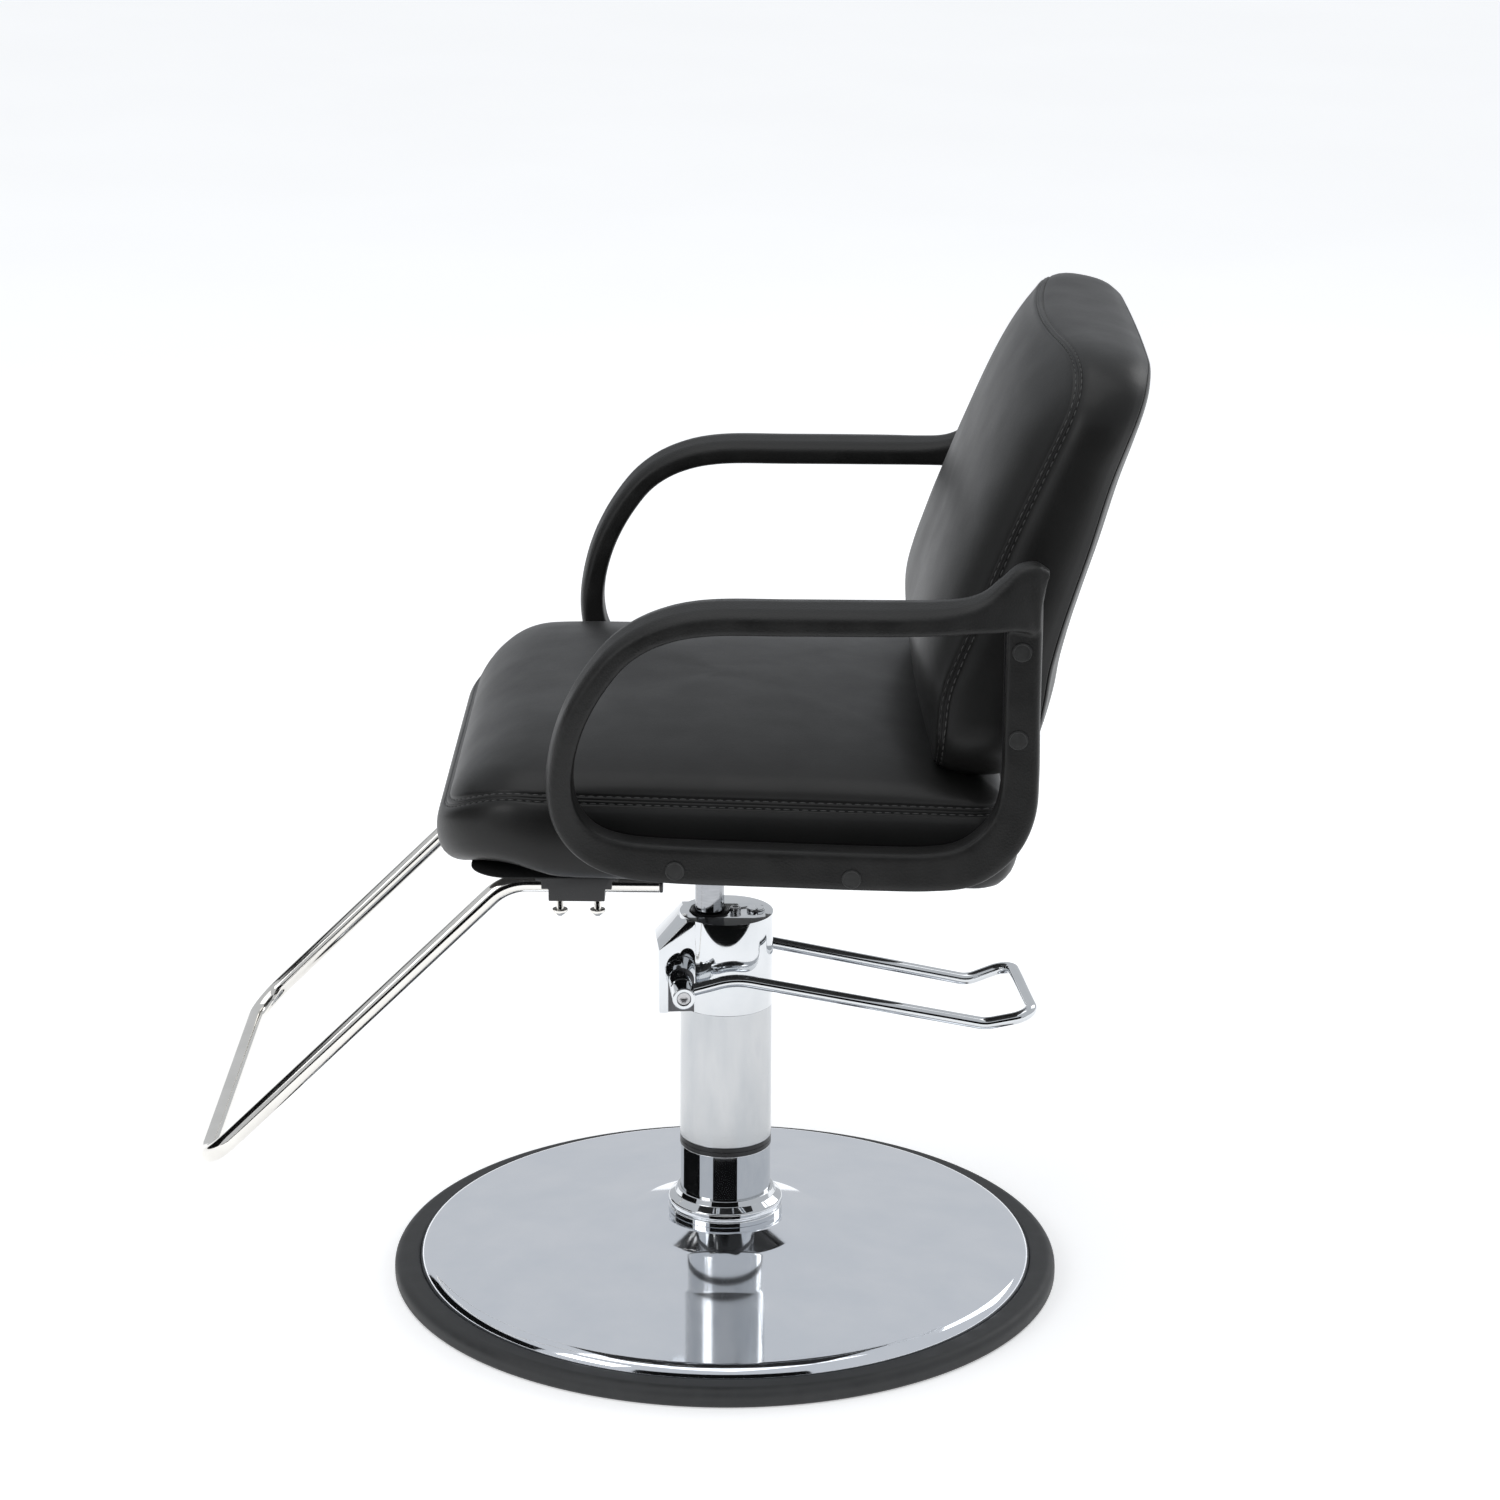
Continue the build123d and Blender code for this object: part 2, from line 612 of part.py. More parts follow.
board_gap = 22.0            # foam between the rear seam's plane and the board
back_board_thickness = 15.0
back_rail_depth = 46.0
with BuildPart() as back_board:
    with BuildSketch(chair_side):
        Polygon((rear_y(562) - board_gap, 562), (rear_y(840) - board_gap, 840),
                (rear_y(840) - board_gap - back_board_thickness, 840),
                (rear_y(562) - board_gap - back_board_thickness, 562), align=None)
    extrude(amount=190, both=True)
    with BuildSketch(chair_side):
        Polygon((rear_y(562) - board_gap, 562), (rear_y(700) - board_gap, 700),
                (rear_y(700) - board_gap - back_rail_depth, 700),
                (rear_y(562) - board_gap - back_rail_depth, 562), align=None)
    extrude(amount=234, both=True)
    with BuildSketch(chair_side):
        Polygon((rear_y(550) - board_gap - back_board_thickness, 550),
                (rear_y(712) - board_gap - back_board_thickness, 712),
                (rear_y(712) - 90, 712), (rear_y(550) - 90, 550), align=None)
    extrude(amount=212, both=True, mode=Mode.SUBTRACT)
    with BuildSketch(chair_side):
        with Locations(*back_screws):
            Circle(8)
    extrude(amount=240, both=True, mode=Mode.SUBTRACT)
back_board.part.label = "back_board"
export_step(back_board.part, "parts/back_board.step")

with BuildPart() as back_cushion:
    with BuildSketch(chair_side):
        with BuildLine():
            front = Spline(
                (200, 548), (182, 580), (192, 640), (221, 720), (262, 820), (290, 880),
                tangents=((-1, 0.4), (0.45, 1)))
            top = ThreePointArc(front @ 1, (316, back_top), (352, 892))
            rear = Spline(top @ 1, (356, 850), (322, 730), (292, 615), (280, 556),
                          tangents=((0.5, -1), (-0.2, -1)))
            ThreePointArc(rear @ 1, (240, back_bottom), front @ 0)
        make_face()
    extrude(amount=back_half_width, both=True)
    with BuildSketch(Plane.XZ):
        with BuildLine():
            FilletPolyline(
                (-back_half_width, back_bottom - 10), (-back_half_width, back_top + 2),
                (back_half_width, back_top + 2), (back_half_width, back_bottom - 10), radius=125)
            Line((back_half_width, back_bottom - 10), (-back_half_width, back_bottom - 10))
        make_face()
    extrude(amount=500, both=True, mode=Mode.INTERSECT)
    add(back_board.part, mode=Mode.SUBTRACT)
    with BuildSketch(chair_side):
        with Locations(*back_screws):
            Circle(8)
    extrude(amount=back_half_width, both=True, mode=Mode.SUBTRACT)
back_cushion.part.label = "back_cushion"
export_step(back_cushion.part, "parts/back_cushion.step")

# ---- arms ----------------------------------------------------------------------
# Each arm is one loop: its side outline, narrowed by its front and plan outlines.
core_x = arm_inner + 11
core_bar = [(-62, 470), (-62, 492), (190, 485.5), (214, 494), (232, 513), (240, 540), (240, 700),
            (262, 700), (262, 536), (255, 516), (243, 499), (228, 484), (205, 470), (190, 463)]
with BuildPart() as arm_core_left:
    with BuildSketch(chair_side.offset(core_x)):
        Polygon(*core_bar, align=None)
        with Locations(*seat_screws, *back_screws):
            Circle(screw_radius + 0.3, mode=Mode.SUBTRACT)
    extrude(amount=core_thickness)
arm_core_left.part.label = "arm_core_left"
export_step(arm_core_left.part, "parts/arm_core_left.step")

with BuildPart() as arm_core_right:
    add(arm_core_left.part)
    mirror(about=Plane.YZ, mode=Mode.REPLACE)
arm_core_right.part.label = "arm_core_right"
export_step(arm_core_right.part, "parts/arm_core_right.step")

with BuildPart() as arm_left:
    with BuildSketch(chair_side.offset(arm_inner)):
        with BuildLine():
            Spline(
                (-10, arm_top - 3), (-65, 693), (-112, 628), (-126, 560), (-112, 500), (-68, 467),
                tangents=((-1, 0), (1, -0.15)))
            Line((-68, 467), (180, 459.5))
            ThreePointArc((180, 459.5), (248, 487), (270, 545))
            Line((270, 545), (270, arm_tip - 12))
            ThreePointArc((270, arm_tip - 12), (266, arm_tip), (256, arm_tip - 5))
            Bezier((256, arm_tip - 5), (238, 720), (222, arm_top - 3), (150, arm_top - 3))
            Line((150, arm_top - 3), (-10, arm_top - 3))
        make_face()
        with BuildLine():
            Spline(
                (10, 683), (-52, 666), (-92, 610), (-104, 555), (-92, 512), (-52, 500),
                tangents=((-1, 0), (1, 0)))
            Line((-52, 500), (178, 492.5))
            ThreePointArc((178, 492.5), (228, 512), (241, 555))
            Line((241, 555), (241, 672))
            Bezier((241, 672), (241, 700), (225, 683), (150, 683))
            Line((150, 683), (10, 683))
        make_face(mode=Mode.SUBTRACT)
    extrude(amount=arm_strap_outer - arm_inner)
    with BuildSketch(Plane.XZ):
        with BuildLine():
            Line((arm_inner, 440), (arm_post_outer, 440))
            Line((arm_post_outer, 440), (arm_post_outer, 505))
            Spline((arm_post_outer, 505), (318, 590), (arm_strap_outer, 676),
                   tangents=((0, 1), (0, 1)))
            Line((arm_strap_outer, 676), (arm_strap_outer, 700))
            Line((arm_strap_outer, 700), (326, 760))
            Line((326, 760), (arm_inner, 760))
            Line((arm_inner, 760), (arm_inner, 440))
        make_face()
    extrude(amount=500, both=True, mode=Mode.INTERSECT)
    with BuildSketch(Plane.XY.offset(440)):
        with BuildLine():
            Polyline((arm_inner, 300), (arm_inner, -160), (arm_strap_outer, -160), (arm_strap_outer, 170))
            Spline((arm_strap_outer, 170), (322, 215), (arm_post_outer, 250), tangents=((0, 1), (-0.2, 1)))
            Polyline((arm_post_outer, 250), (arm_post_outer, 300), (arm_inner, 300))
        make_face()
    extrude(amount=400, mode=Mode.INTERSECT)
    add(arm_core_left.part, mode=Mode.SUBTRACT)
    with BuildSketch(chair_side.offset(arm_inner)):
        with Locations(*seat_screws, *back_screws):
            Circle(screw_radius + 0.3)
    extrude(amount=40, mode=Mode.SUBTRACT)
    with BuildSketch(chair_side.offset(arm_post_outer - 9)):
        with Locations(*seat_screws, *back_screws):
            Circle(cap_radius)
    extrude(amount=20, mode=Mode.SUBTRACT)
arm_left.part.label = "arm_left"
export_step(arm_left.part, "parts/arm_left.step")

with BuildPart() as arm_right:
    add(arm_left.part)
    mirror(about=Plane.YZ, mode=Mode.REPLACE)
arm_right.part.label = "arm_right"
export_step(arm_right.part, "parts/arm_right.step")

head_seat = arm_post_outer - 9
with BuildPart() as arm_screws:
    with BuildSketch(chair_side.offset(head_seat)):
        with Locations(*seat_screws, *back_screws):
            Circle(7.5)
    extrude(amount=5)
    with BuildSketch(chair_side.offset(board_half_width - rail_width + 4)):
        with Locations(*seat_screws, *back_screws):
            Circle(screw_radius)
    extrude(amount=head_seat - (board_half_width - rail_width + 4))
    with BuildSketch(chair_side.offset(head_seat + 2)):
        with Locations(*seat_screws, *back_screws):
            RegularPolygon(2.5, 6, major_radius=False)
    extrude(amount=3, mode=Mode.SUBTRACT)
    mirror(about=Plane.YZ)
arm_screws.part.label = "arm_screws"
export_step(arm_screws.part, "parts/arm_screws.step")

with BuildPart() as arm_screw_caps:
    with BuildSketch(chair_side.offset(head_seat + 5)):
        with Locations(*seat_screws, *back_screws):
            Circle(cap_radius)
    extrude(amount=4.6)
    chamfer(arm_screw_caps.edges().group_by(Axis.X)[-1], length=0.6)
    mirror(about=Plane.YZ)
arm_screw_caps.part.label = "arm_screw_caps"
export_step(arm_screw_caps.part, "parts/arm_screw_caps.step")

with BuildPart() as arm_nuts:
    with BuildSketch(chair_side.offset(board_half_width - rail_width)):
        with Locations(*seat_screws):
            Circle(8)
            Circle(screw_radius, mode=Mode.SUBTRACT)
    extrude(amount=14)
    with BuildSketch(chair_side.offset(213)):
        with Locations(*back_screws):
            Circle(8)
            Circle(screw_radius, mode=Mode.SUBTRACT)
    extrude(amount=18)
    mirror(about=Plane.YZ)
arm_nuts.part.label = "arm_nuts"
export_step(arm_nuts.part, "parts/arm_nuts.step")

# ---- footrest ------------------------------------------------------------------
drop = radians(footrest_drop)
knee_y = footrest_front + (footrest_high - footrest_low) * cos(drop) / sin(drop)
footrest_points = [(footrest_half_width, footrest_rear, footrest_high),
                   (footrest_half_width, knee_y, footrest_high),
                   (footrest_half_width, footrest_front, footrest_low)]
with BuildPart() as footrest_tube:
    with BuildLine() as tube_path:
        FilletPolyline(*footrest_points, *[(-x, y, z) for x, y, z in reversed(footrest_points)],
                       radius=(45, 34, 34, 45))
    with BuildSketch(Plane(origin=tube_path.line @ 0, z_dir=tube_path.line % 0)):
        Circle(footrest_radius)
    sweep()
    for side in (-1, 1):
        with BuildSketch(Plane.XZ.offset(-footrest_rear)):
            with Locations((side * footrest_half_width, footrest_high)):
                Circle(footrest_radius - 1.5)
        extrude(amount=12, mode=Mode.SUBTRACT)
        with BuildSketch(Plane.XY.offset(footrest_high - 20)):
            for row in footrest_screw_rows:
                with Locations((side * footrest_half_width, row)):
                    Circle(3.1)
        extrude(amount=40, mode=Mode.SUBTRACT)
footrest_tube.part.label = "footrest_tube"
export_step(footrest_tube.part, "parts/footrest_tube.step")

with BuildPart() as footrest_tube_plugs:
    for side in (-1, 1):
        with BuildSketch(Plane.XZ.offset(-footrest_rear - 2.5)):
            with Locations((side * footrest_half_width, footrest_high)):
                Circle(footrest_radius)
        extrude(amount=2.5)
        with BuildSketch(Plane.XZ.offset(-footrest_rear)):
            with Locations((side * footrest_half_width, footrest_high)):
                Circle(footrest_radius - 1.5)
        extrude(amount=11)
footrest_tube_plugs.part.label = "footrest_tube_plugs"
export_step(footrest_tube_plugs.part, "parts/footrest_tube_plugs.step")

bracket_low = 419.5
bracket_half = 12.5
with BuildPart() as footrest_bracket_left:
    with BuildSketch(chair_side.offset(footrest_half_width)):
        with BuildLine():
            Polyline(
                (bracket_front, seat_bottom), (bracket_front, 426), (bracket_front + 3, 423),
                (bracket_front + 9, 423), (bracket_front + 12, bracket_low),
                (bracket_rear - 9, bracket_low), (bracket_rear - 6, 423), (bracket_rear - 3, 423),
                (bracket_rear, 426), (bracket_rear, seat_bottom), (bracket_front, seat_bottom))
        make_face()
    extrude(amount=bracket_half, both=True)
    fillet(footrest_bracket_left.edges().filter_by(Axis.Y).group_by(Axis.Z)[0], radius=2.5)
    with BuildSketch(Plane.XZ):
        with Locations((footrest_half_width, footrest_high)):
            Circle(footrest_radius)
    extrude(amount=200, mode=Mode.SUBTRACT)
    with BuildSketch(Plane.XY.offset(400)):
        for row in footrest_screw_rows:
            with Locations((footrest_half_width, row)):
                Circle(3.1)
    extrude(amount=80, mode=Mode.SUBTRACT)
footrest_bracket_left.part.label = "footrest_bracket_left"
export_step(footrest_bracket_left.part, "parts/footrest_bracket_left.step")

with BuildPart() as footrest_bracket_right:
    add(footrest_bracket_left.part)
    mirror(about=Plane.YZ, mode=Mode.REPLACE)
footrest_bracket_right.part.label = "footrest_bracket_right"
export_step(footrest_bracket_right.part, "parts/footrest_bracket_right.step")

screw_head_top = 409.0
with BuildPart() as footrest_screws:
    with BuildSketch(Plane.XY.offset(screw_head_top)):
        for side in (-1, 1):
            for row in footrest_screw_rows:
                with Locations((side * footrest_half_width, row)):
                    Circle(3)
    extrude(amount=seat_bottom + 10 - screw_head_top)
    with BuildSketch(Plane.XY.offset(screw_head_top)):
        for side in (-1, 1):
            for row in footrest_screw_rows:
                with Locations((side * footrest_half_width, row)):
                    Circle(6.5)
    extrude(amount=-5)
    fillet(footrest_screws.edges().group_by(Axis.Z)[0], radius=2.5)
footrest_screws.part.label = "footrest_screws"
export_step(footrest_screws.part, "parts/footrest_screws.step")
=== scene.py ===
import math
import bmesh
import bpy
import numpy as np
from mathutils import Matrix, Vector


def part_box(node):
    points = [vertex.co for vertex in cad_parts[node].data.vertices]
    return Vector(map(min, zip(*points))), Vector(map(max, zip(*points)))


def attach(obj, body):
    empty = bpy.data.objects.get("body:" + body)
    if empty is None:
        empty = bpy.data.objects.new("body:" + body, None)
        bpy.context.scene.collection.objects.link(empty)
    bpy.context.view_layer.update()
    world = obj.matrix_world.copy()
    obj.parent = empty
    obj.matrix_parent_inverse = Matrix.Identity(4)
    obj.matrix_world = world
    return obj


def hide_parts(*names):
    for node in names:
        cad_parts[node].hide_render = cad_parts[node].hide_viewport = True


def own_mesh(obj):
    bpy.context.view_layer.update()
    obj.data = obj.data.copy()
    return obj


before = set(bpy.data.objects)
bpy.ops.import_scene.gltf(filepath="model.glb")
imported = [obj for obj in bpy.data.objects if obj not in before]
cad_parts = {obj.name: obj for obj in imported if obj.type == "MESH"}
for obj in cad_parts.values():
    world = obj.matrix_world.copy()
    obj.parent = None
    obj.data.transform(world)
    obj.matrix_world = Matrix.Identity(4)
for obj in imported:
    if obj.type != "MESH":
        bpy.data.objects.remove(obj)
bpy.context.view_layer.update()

# ---- Camera -----------------------------------------------------------------------
# A long lens stands at the sitter's left, a little above the seat, with a slight roll.
# Its place and length are the same in every view of the studio.
eye = Vector((3.4456, 0.0612, 1.5336))
forward = (Vector((-0.0016, 0.0350, 0.4899)) - eye).normalized()
level = forward.cross(Vector((0, 0, 1))).normalized()
rise = level.cross(forward)
roll = math.radians(0.3295)
lens = bpy.data.cameras.new("camera")
lens.lens = 98.43
lens.sensor_width = 36
lens.clip_end = 200
camera = bpy.data.objects.new("camera", lens)
bpy.context.scene.collection.objects.link(camera)
turned_axes = Matrix((level * math.cos(roll) + rise * math.sin(roll),
                      rise * math.cos(roll) - level * math.sin(roll), -forward)).transposed()
camera.matrix_world = Matrix.Translation(eye) @ turned_axes.to_4x4()
bpy.context.scene.camera = camera
bpy.context.scene.view_settings.view_transform = "Standard"


# ---- Studio -----------------------------------------------------------------------
# A white floor that runs out of sight, an even sky, three soft boxes, and dark
# flats that only the chrome sees.
class Value:
    """A node's output that takes part in arithmetic."""

    def __init__(self, finish, socket):
        self.finish, self.socket = finish, socket

    def _math(self, operation, *terms):
        return self.finish.node("ShaderNodeMath", {"operation": operation}, dict(enumerate(terms)))

    def __add__(self, other):
        return self._math("ADD", self, other)

    def __sub__(self, other):
        return self._math("SUBTRACT", self, other)

    def __rsub__(self, other):
        return self._math("SUBTRACT", other, self)

    def __mul__(self, other):
        return self._math("MULTIPLY", self, other)

    __radd__ = __add__
    __rmul__ = __mul__


class Finish:
    """A material and its nodes. Every noise is laid out in metres, on the piece's place."""

    def __init__(self, name):
        self.material = bpy.data.materials.new(name)
        self.material.use_nodes = True
        self.tree = self.material.node_tree
        self.tree.nodes.clear()

    def node(self, kind, settings=None, inputs=None, output=0):
        """Any node: its type, its settings, the values or links of its sockets, and the output to use."""
        made = self.tree.nodes.new(kind)
        for name, setting in (settings or {}).items():
            if name == "stops":
                stops = made.color_ramp.elements
                while len(stops) < len(setting):
                    stops.new(0.5)
                for stop, (place, shade) in zip(stops, setting):
                    stop.position, stop.color = place, tuple(shade) + (1,) * (4 - len(shade))
            else:
                setattr(made, name, setting)
        for name, given in (inputs or {}).items():
            if isinstance(given, Value):
                self.tree.links.new(given.socket, made.inputs[name])
            else:
                made.inputs[name].default_value = given
        return Value(self, made.outputs[output])

    def place(self):
        """Where the surface is, in metres."""
        return self.node("ShaderNodeNewGeometry", output="Position")

    def stretched(self, *factors):
        """The place, scaled along each axis, so that a grain drawn on it lies in one direction."""
        return self.node("ShaderNodeVectorMath", {"operation": "MULTIPLY"}, {0: self.place(), 1: factors})

    def pits(self, size):
        """Distance from the nearest of scattered pores this many metres apart."""
        return self.node("ShaderNodeTexVoronoi", {"feature": "F1"}, {
            "Vector": self.place(), "Scale": 1 / size, "Randomness": 1.0}, "Distance")

    def grain(self, size, detail=2.0, roughness=0.5, vector=None, warp=0.0):
        """Noise whose features are about this many metres across."""
        return self.node("ShaderNodeTexNoise", {}, {
            "Vector": vector or self.place(), "Scale": 1 / size, "Detail": detail,
            "Roughness": roughness, "Distortion": warp}, "Fac")

    def ramp(self, factor, stops):
        """Colours by a noise's height."""
        return self.node("ShaderNodeValToRGB", {"stops": stops}, {"Fac": factor}, "Color")

    def tones(self, factor, dark, light):
        """Two colours over the middle of a noise's range."""
        return self.ramp(factor, [(0.3, dark), (0.7, light)])

    def between(self, factor, out_low, out_high, low=0.3, high=0.7):
        """Numbers over the middle of a noise's range."""
        return self.node("ShaderNodeMapRange", {"clamp": True}, {
            "Value": factor, "From Min": low, "From Max": high, "To Min": out_low, "To Max": out_high})

    def relief(self, height, depth, strength=1.0, under=None):
        inputs = {"Height": height, "Distance": depth, "Strength": strength}
        if under:
            inputs["Normal"] = under
        return self.node("ShaderNodeBump", {}, inputs)

    def surface(self, **inputs):
        """Ends the material with its shader, whose sockets are named with _ for a space."""
        named = {name.replace("_", " "): given for name, given in inputs.items()}
        shader = self.node("ShaderNodeBsdfPrincipled", {}, named)
        end = self.tree.nodes.new("ShaderNodeOutputMaterial")
        self.tree.links.new(shader.socket, end.inputs["Surface"])
        return self.material


sky = bpy.data.worlds.new("studio")
sky.use_nodes = True
bpy.context.scene.world = sky
sky.node_tree.nodes["Background"].inputs["Color"].default_value = (0.93, 0.96, 1.0, 1)
sky.node_tree.nodes["Background"].inputs["Strength"].default_value = 0.62

painted_floor = Finish("floor_paint")
floor_mottle = painted_floor.grain(0.6)
floor_paint = painted_floor.surface(
    Base_Color=painted_floor.tones(floor_mottle, (0.93, 0.93, 0.93), (0.95, 0.95, 0.95)),
    Roughness=0.9, Specular_IOR_Level=0.1, Emission_Color=(1, 1, 1, 1), Emission_Strength=0.38)
floor_mesh = bpy.data.meshes.new("floor")
floor_mesh.from_pydata([(-60, -60, 0), (60, -60, 0), (60, 60, 0), (-60, 60, 0)], [], [(0, 1, 2, 3)])
floor = bpy.data.objects.new("floor", floor_mesh)
bpy.context.scene.collection.objects.link(floor)
floor_mesh.materials.append(floor_paint)


def soft_box(name, place, aim, width, height, power):
    """An area lamp at a place, turned to its aim."""
    lamp = bpy.data.lights.new(name, "AREA")
    lamp.shape, lamp.size, lamp.size_y, lamp.energy = "RECTANGLE", width, height, power
    box = bpy.data.objects.new(name, lamp)
    bpy.context.scene.collection.objects.link(box)
    box.location = place
    box.rotation_mode = "QUATERNION"
    box.rotation_quaternion = (Vector(aim) - Vector(place)).to_track_quat("-Z", "Y")


soft_box("overhead", (0.3, -0.2, 3.6), (0, 0, 0), 3.2, 3.2, 34)
soft_box("front_left", (2.6, -3.2, 2.6), (0, 0, 0.5), 1.8, 1.8, 26)
soft_box("behind_right", (-2.4, 2.8, 2.6), (0, 0, 0.6), 1.6, 2.0, 22)

black_cloth = Finish("black_flat")
flat_mottle = black_cloth.grain(0.3)
flat_cloth = black_cloth.surface(
    Base_Color=black_cloth.ramp(flat_mottle, [(0.0, (0.004, 0.004, 0.004)), (1.0, (0.008, 0.008, 0.008))]),
    Roughness=1.0, Specular_IOR_Level=0.0)


def flat(name, corners):
    """A dark board that lights nothing and shows only in reflections."""
    mesh = bpy.data.meshes.new(name)
    mesh.from_pydata(corners, [], [(0, 1, 2, 3)])
    board = bpy.data.objects.new(name, mesh)
    bpy.context.scene.collection.objects.link(board)
    mesh.materials.append(flat_cloth)
    board.visible_camera = board.visible_diffuse = board.visible_shadow = False


flat("flat_behind_camera", [(5, -3, 0), (5, 3, 0), (5, 3, 2.8), (5, -3, 2.8)])
flat("flat_in_front", [(-5, -5, 0), (2, -5, 0), (2, -5, 2.6), (-5, -5, 2.6)])
flat("flat_on_floor", [(1.6, -3, 0.002), (5, -7, 0.002), (5, 7, 0.002), (1.6, 3, 0.002)])

# ---- Base plate -------------------------------------------------------------------
# A round dish pressed from 3 mm sheet steel with a turned-down rim, then chromed.
# Polishing leaves faint rings round the middle.
chrome = Finish("base_chrome")
haze = chrome.grain(0.05, detail=4.0)
wipe = chrome.grain(0.004, detail=3.0, vector=chrome.stretched(1, 1, 6))
base_chrome = chrome.surface(
    Base_Color=chrome.tones(haze, (0.82, 0.85, 0.90), (0.88, 0.90, 0.94)),
    Metallic=1.0, Roughness=chrome.between(haze, 0.045, 0.10, 0.3, 0.75),
    Normal=chrome.relief(wipe, 0.00004, 0.12))


def corner_arcs(outline, steps=14):
    """Points (u, v, radius) with each corner rounded, and a close row beside each arc for even shading."""
    path = []
    for i, (u, v, *radius) in enumerate(outline):
        here = Vector((u, v))
        if not radius or i in (0, len(outline) - 1):
            path.append(here)
            continue
        before, after = Vector(outline[i - 1][:2]) - here, Vector(outline[i + 1][:2]) - here
        half = before.angle(after) / 2
        reach = min(radius[0] / math.tan(half), before.length * 0.499, after.length * 0.499)
        bend = reach * math.tan(half)
        centre = here + (before.normalized() + after.normalized()).normalized() * (bend / math.sin(half))
        start = here + before.normalized() * reach - centre
        stop = here + after.normalized() * reach - centre
        turn = math.atan2(start.x * stop.y - start.y * stop.x, start.dot(stop))
        if before.length > reach * 2.2:
            path.append(here + before.normalized() * reach * 1.08)
        for k in range(steps + 1):
            a = turn * k / steps
            path.append(centre + Vector((start.x * math.cos(a) - start.y * math.sin(a),
                                         start.x * math.sin(a) + start.y * math.cos(a))))
        if after.length > reach * 2.2:
            path.append(here + after.normalized() * reach * 1.08)
    return path


def add_piece(name, mesh, finish, body, nodes, sharp=32):
    """Links the mesh as a piece, shades it smooth up to this angle and ties it to the frame."""
    piece = bpy.data.objects.new(name, mesh)
    bpy.context.scene.collection.objects.link(piece)
    mesh.materials.append(finish)
    mesh.shade_smooth()
    if sharp:
        mesh.set_sharp_from_angle(angle=math.radians(sharp))
    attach(piece, body)
    if nodes:
        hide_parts(*nodes)
    return piece


def closed_form(name, form):
    """The finished mesh of a form, with its faces turned outward."""
    bmesh.ops.recalc_face_normals(form, faces=form.faces)
    mesh = bpy.data.meshes.new(name)
    form.to_mesh(mesh)
    form.free()
    return mesh


def ring_faces(form, low, high):
    """Faces between two rings of as many points."""
    for k, here in enumerate(low):
        j = (k + 1) % len(low)
        form.faces.new((here, low[j], high[j], high[k]))


def tube_faces(form, rings):
    """Faces along a run of rings, with both ends closed."""
    for low, high in zip(rings, rings[1:]):
        ring_faces(form, low, high)
    form.faces.new(rings[0])
    form.faces.new(rings[-1])


def turned(name, outline, place, segments=160):
    """A mesh turned about the place's Z axis from (radius, height, corner radius) in millimetres."""
    on_axis = 1e-6
    path = corner_arcs([(u / 1000, v / 1000, *(r / 1000 for r in rest)) for u, v, *rest in outline])
    form = bmesh.new()
    rings = []
    for p in path:
        if p.x < on_axis:
            rings.append([form.verts.new(place @ Vector((0, 0, p.y)))])
        else:
            rings.append([form.verts.new(place @ Vector((
                p.x * math.cos(math.tau * k / segments), p.x * math.sin(math.tau * k / segments), p.y)))
                for k in range(segments)])
    for low, high in zip(rings, rings[1:]):
        if len(low) == len(high) > 1:
            ring_faces(form, low, high)
        elif len(low) != len(high):
            point, ring = (low[0], high) if len(low) == 1 else (high[0], low)
            for k in range(segments):
                form.faces.new((point, ring[(k + 1) % segments], ring[k]))
    bmesh.ops.remove_doubles(form, verts=form.verts, dist=1e-7)
    return closed_form(name, form)


def upright(node):
    """The floor under the middle of a CAD node."""
    low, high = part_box(node)
    return Matrix.Translation(((low.x + high.x) / 2, (low.y + high.y) / 2, 0))


column = upright("pump_sleeve")
pump = column @ Matrix.Rotation(math.radians(6), 4, "Z")
base_outline = [(0, 57), (62, 57, 12), (90, 48.3, 60), (150, 38.8, 120), (277, 25.2, 17), (277, 4),
                (274, 4), (274, 22.2, 14), (150, 35.8, 117), (90, 45.3, 57), (61.5, 54, 15), (0, 54)]
add_piece("base_plate_piece", turned("base_plate", base_outline, column, 256),
          base_chrome, "base", ["base_plate"])

# ---- Rubber edge ------------------------------------------------------------------
# An extruded ring of black rubber, joined at one point. It grips the rim of the dish
# and stands on the floor.
rubber = Finish("edge_rubber")
rubber_bloom = rubber.grain(0.02, detail=5.0)
rubber_pores = rubber.grain(0.0012, detail=2.0)
edge_rubber = rubber.surface(
    Base_Color=rubber.tones(rubber_bloom, (0.018, 0.019, 0.020), (0.032, 0.033, 0.034)),
    Roughness=rubber.between(rubber_bloom, 0.48, 0.62),
    Normal=rubber.relief(rubber_pores, 0.00008, 0.5))
ring_outline = [(268, 6), (268, 0, 1), (300, 0, 4), (300, 17, 9), (277, 17, 2.5), (277, 12), (277.2, 4)]
add_piece("base_rubber_ring_piece", turned("rubber_ring", ring_outline + [(268, 6)], column, 256),
          edge_rubber, "base", ["base_rubber_ring"])

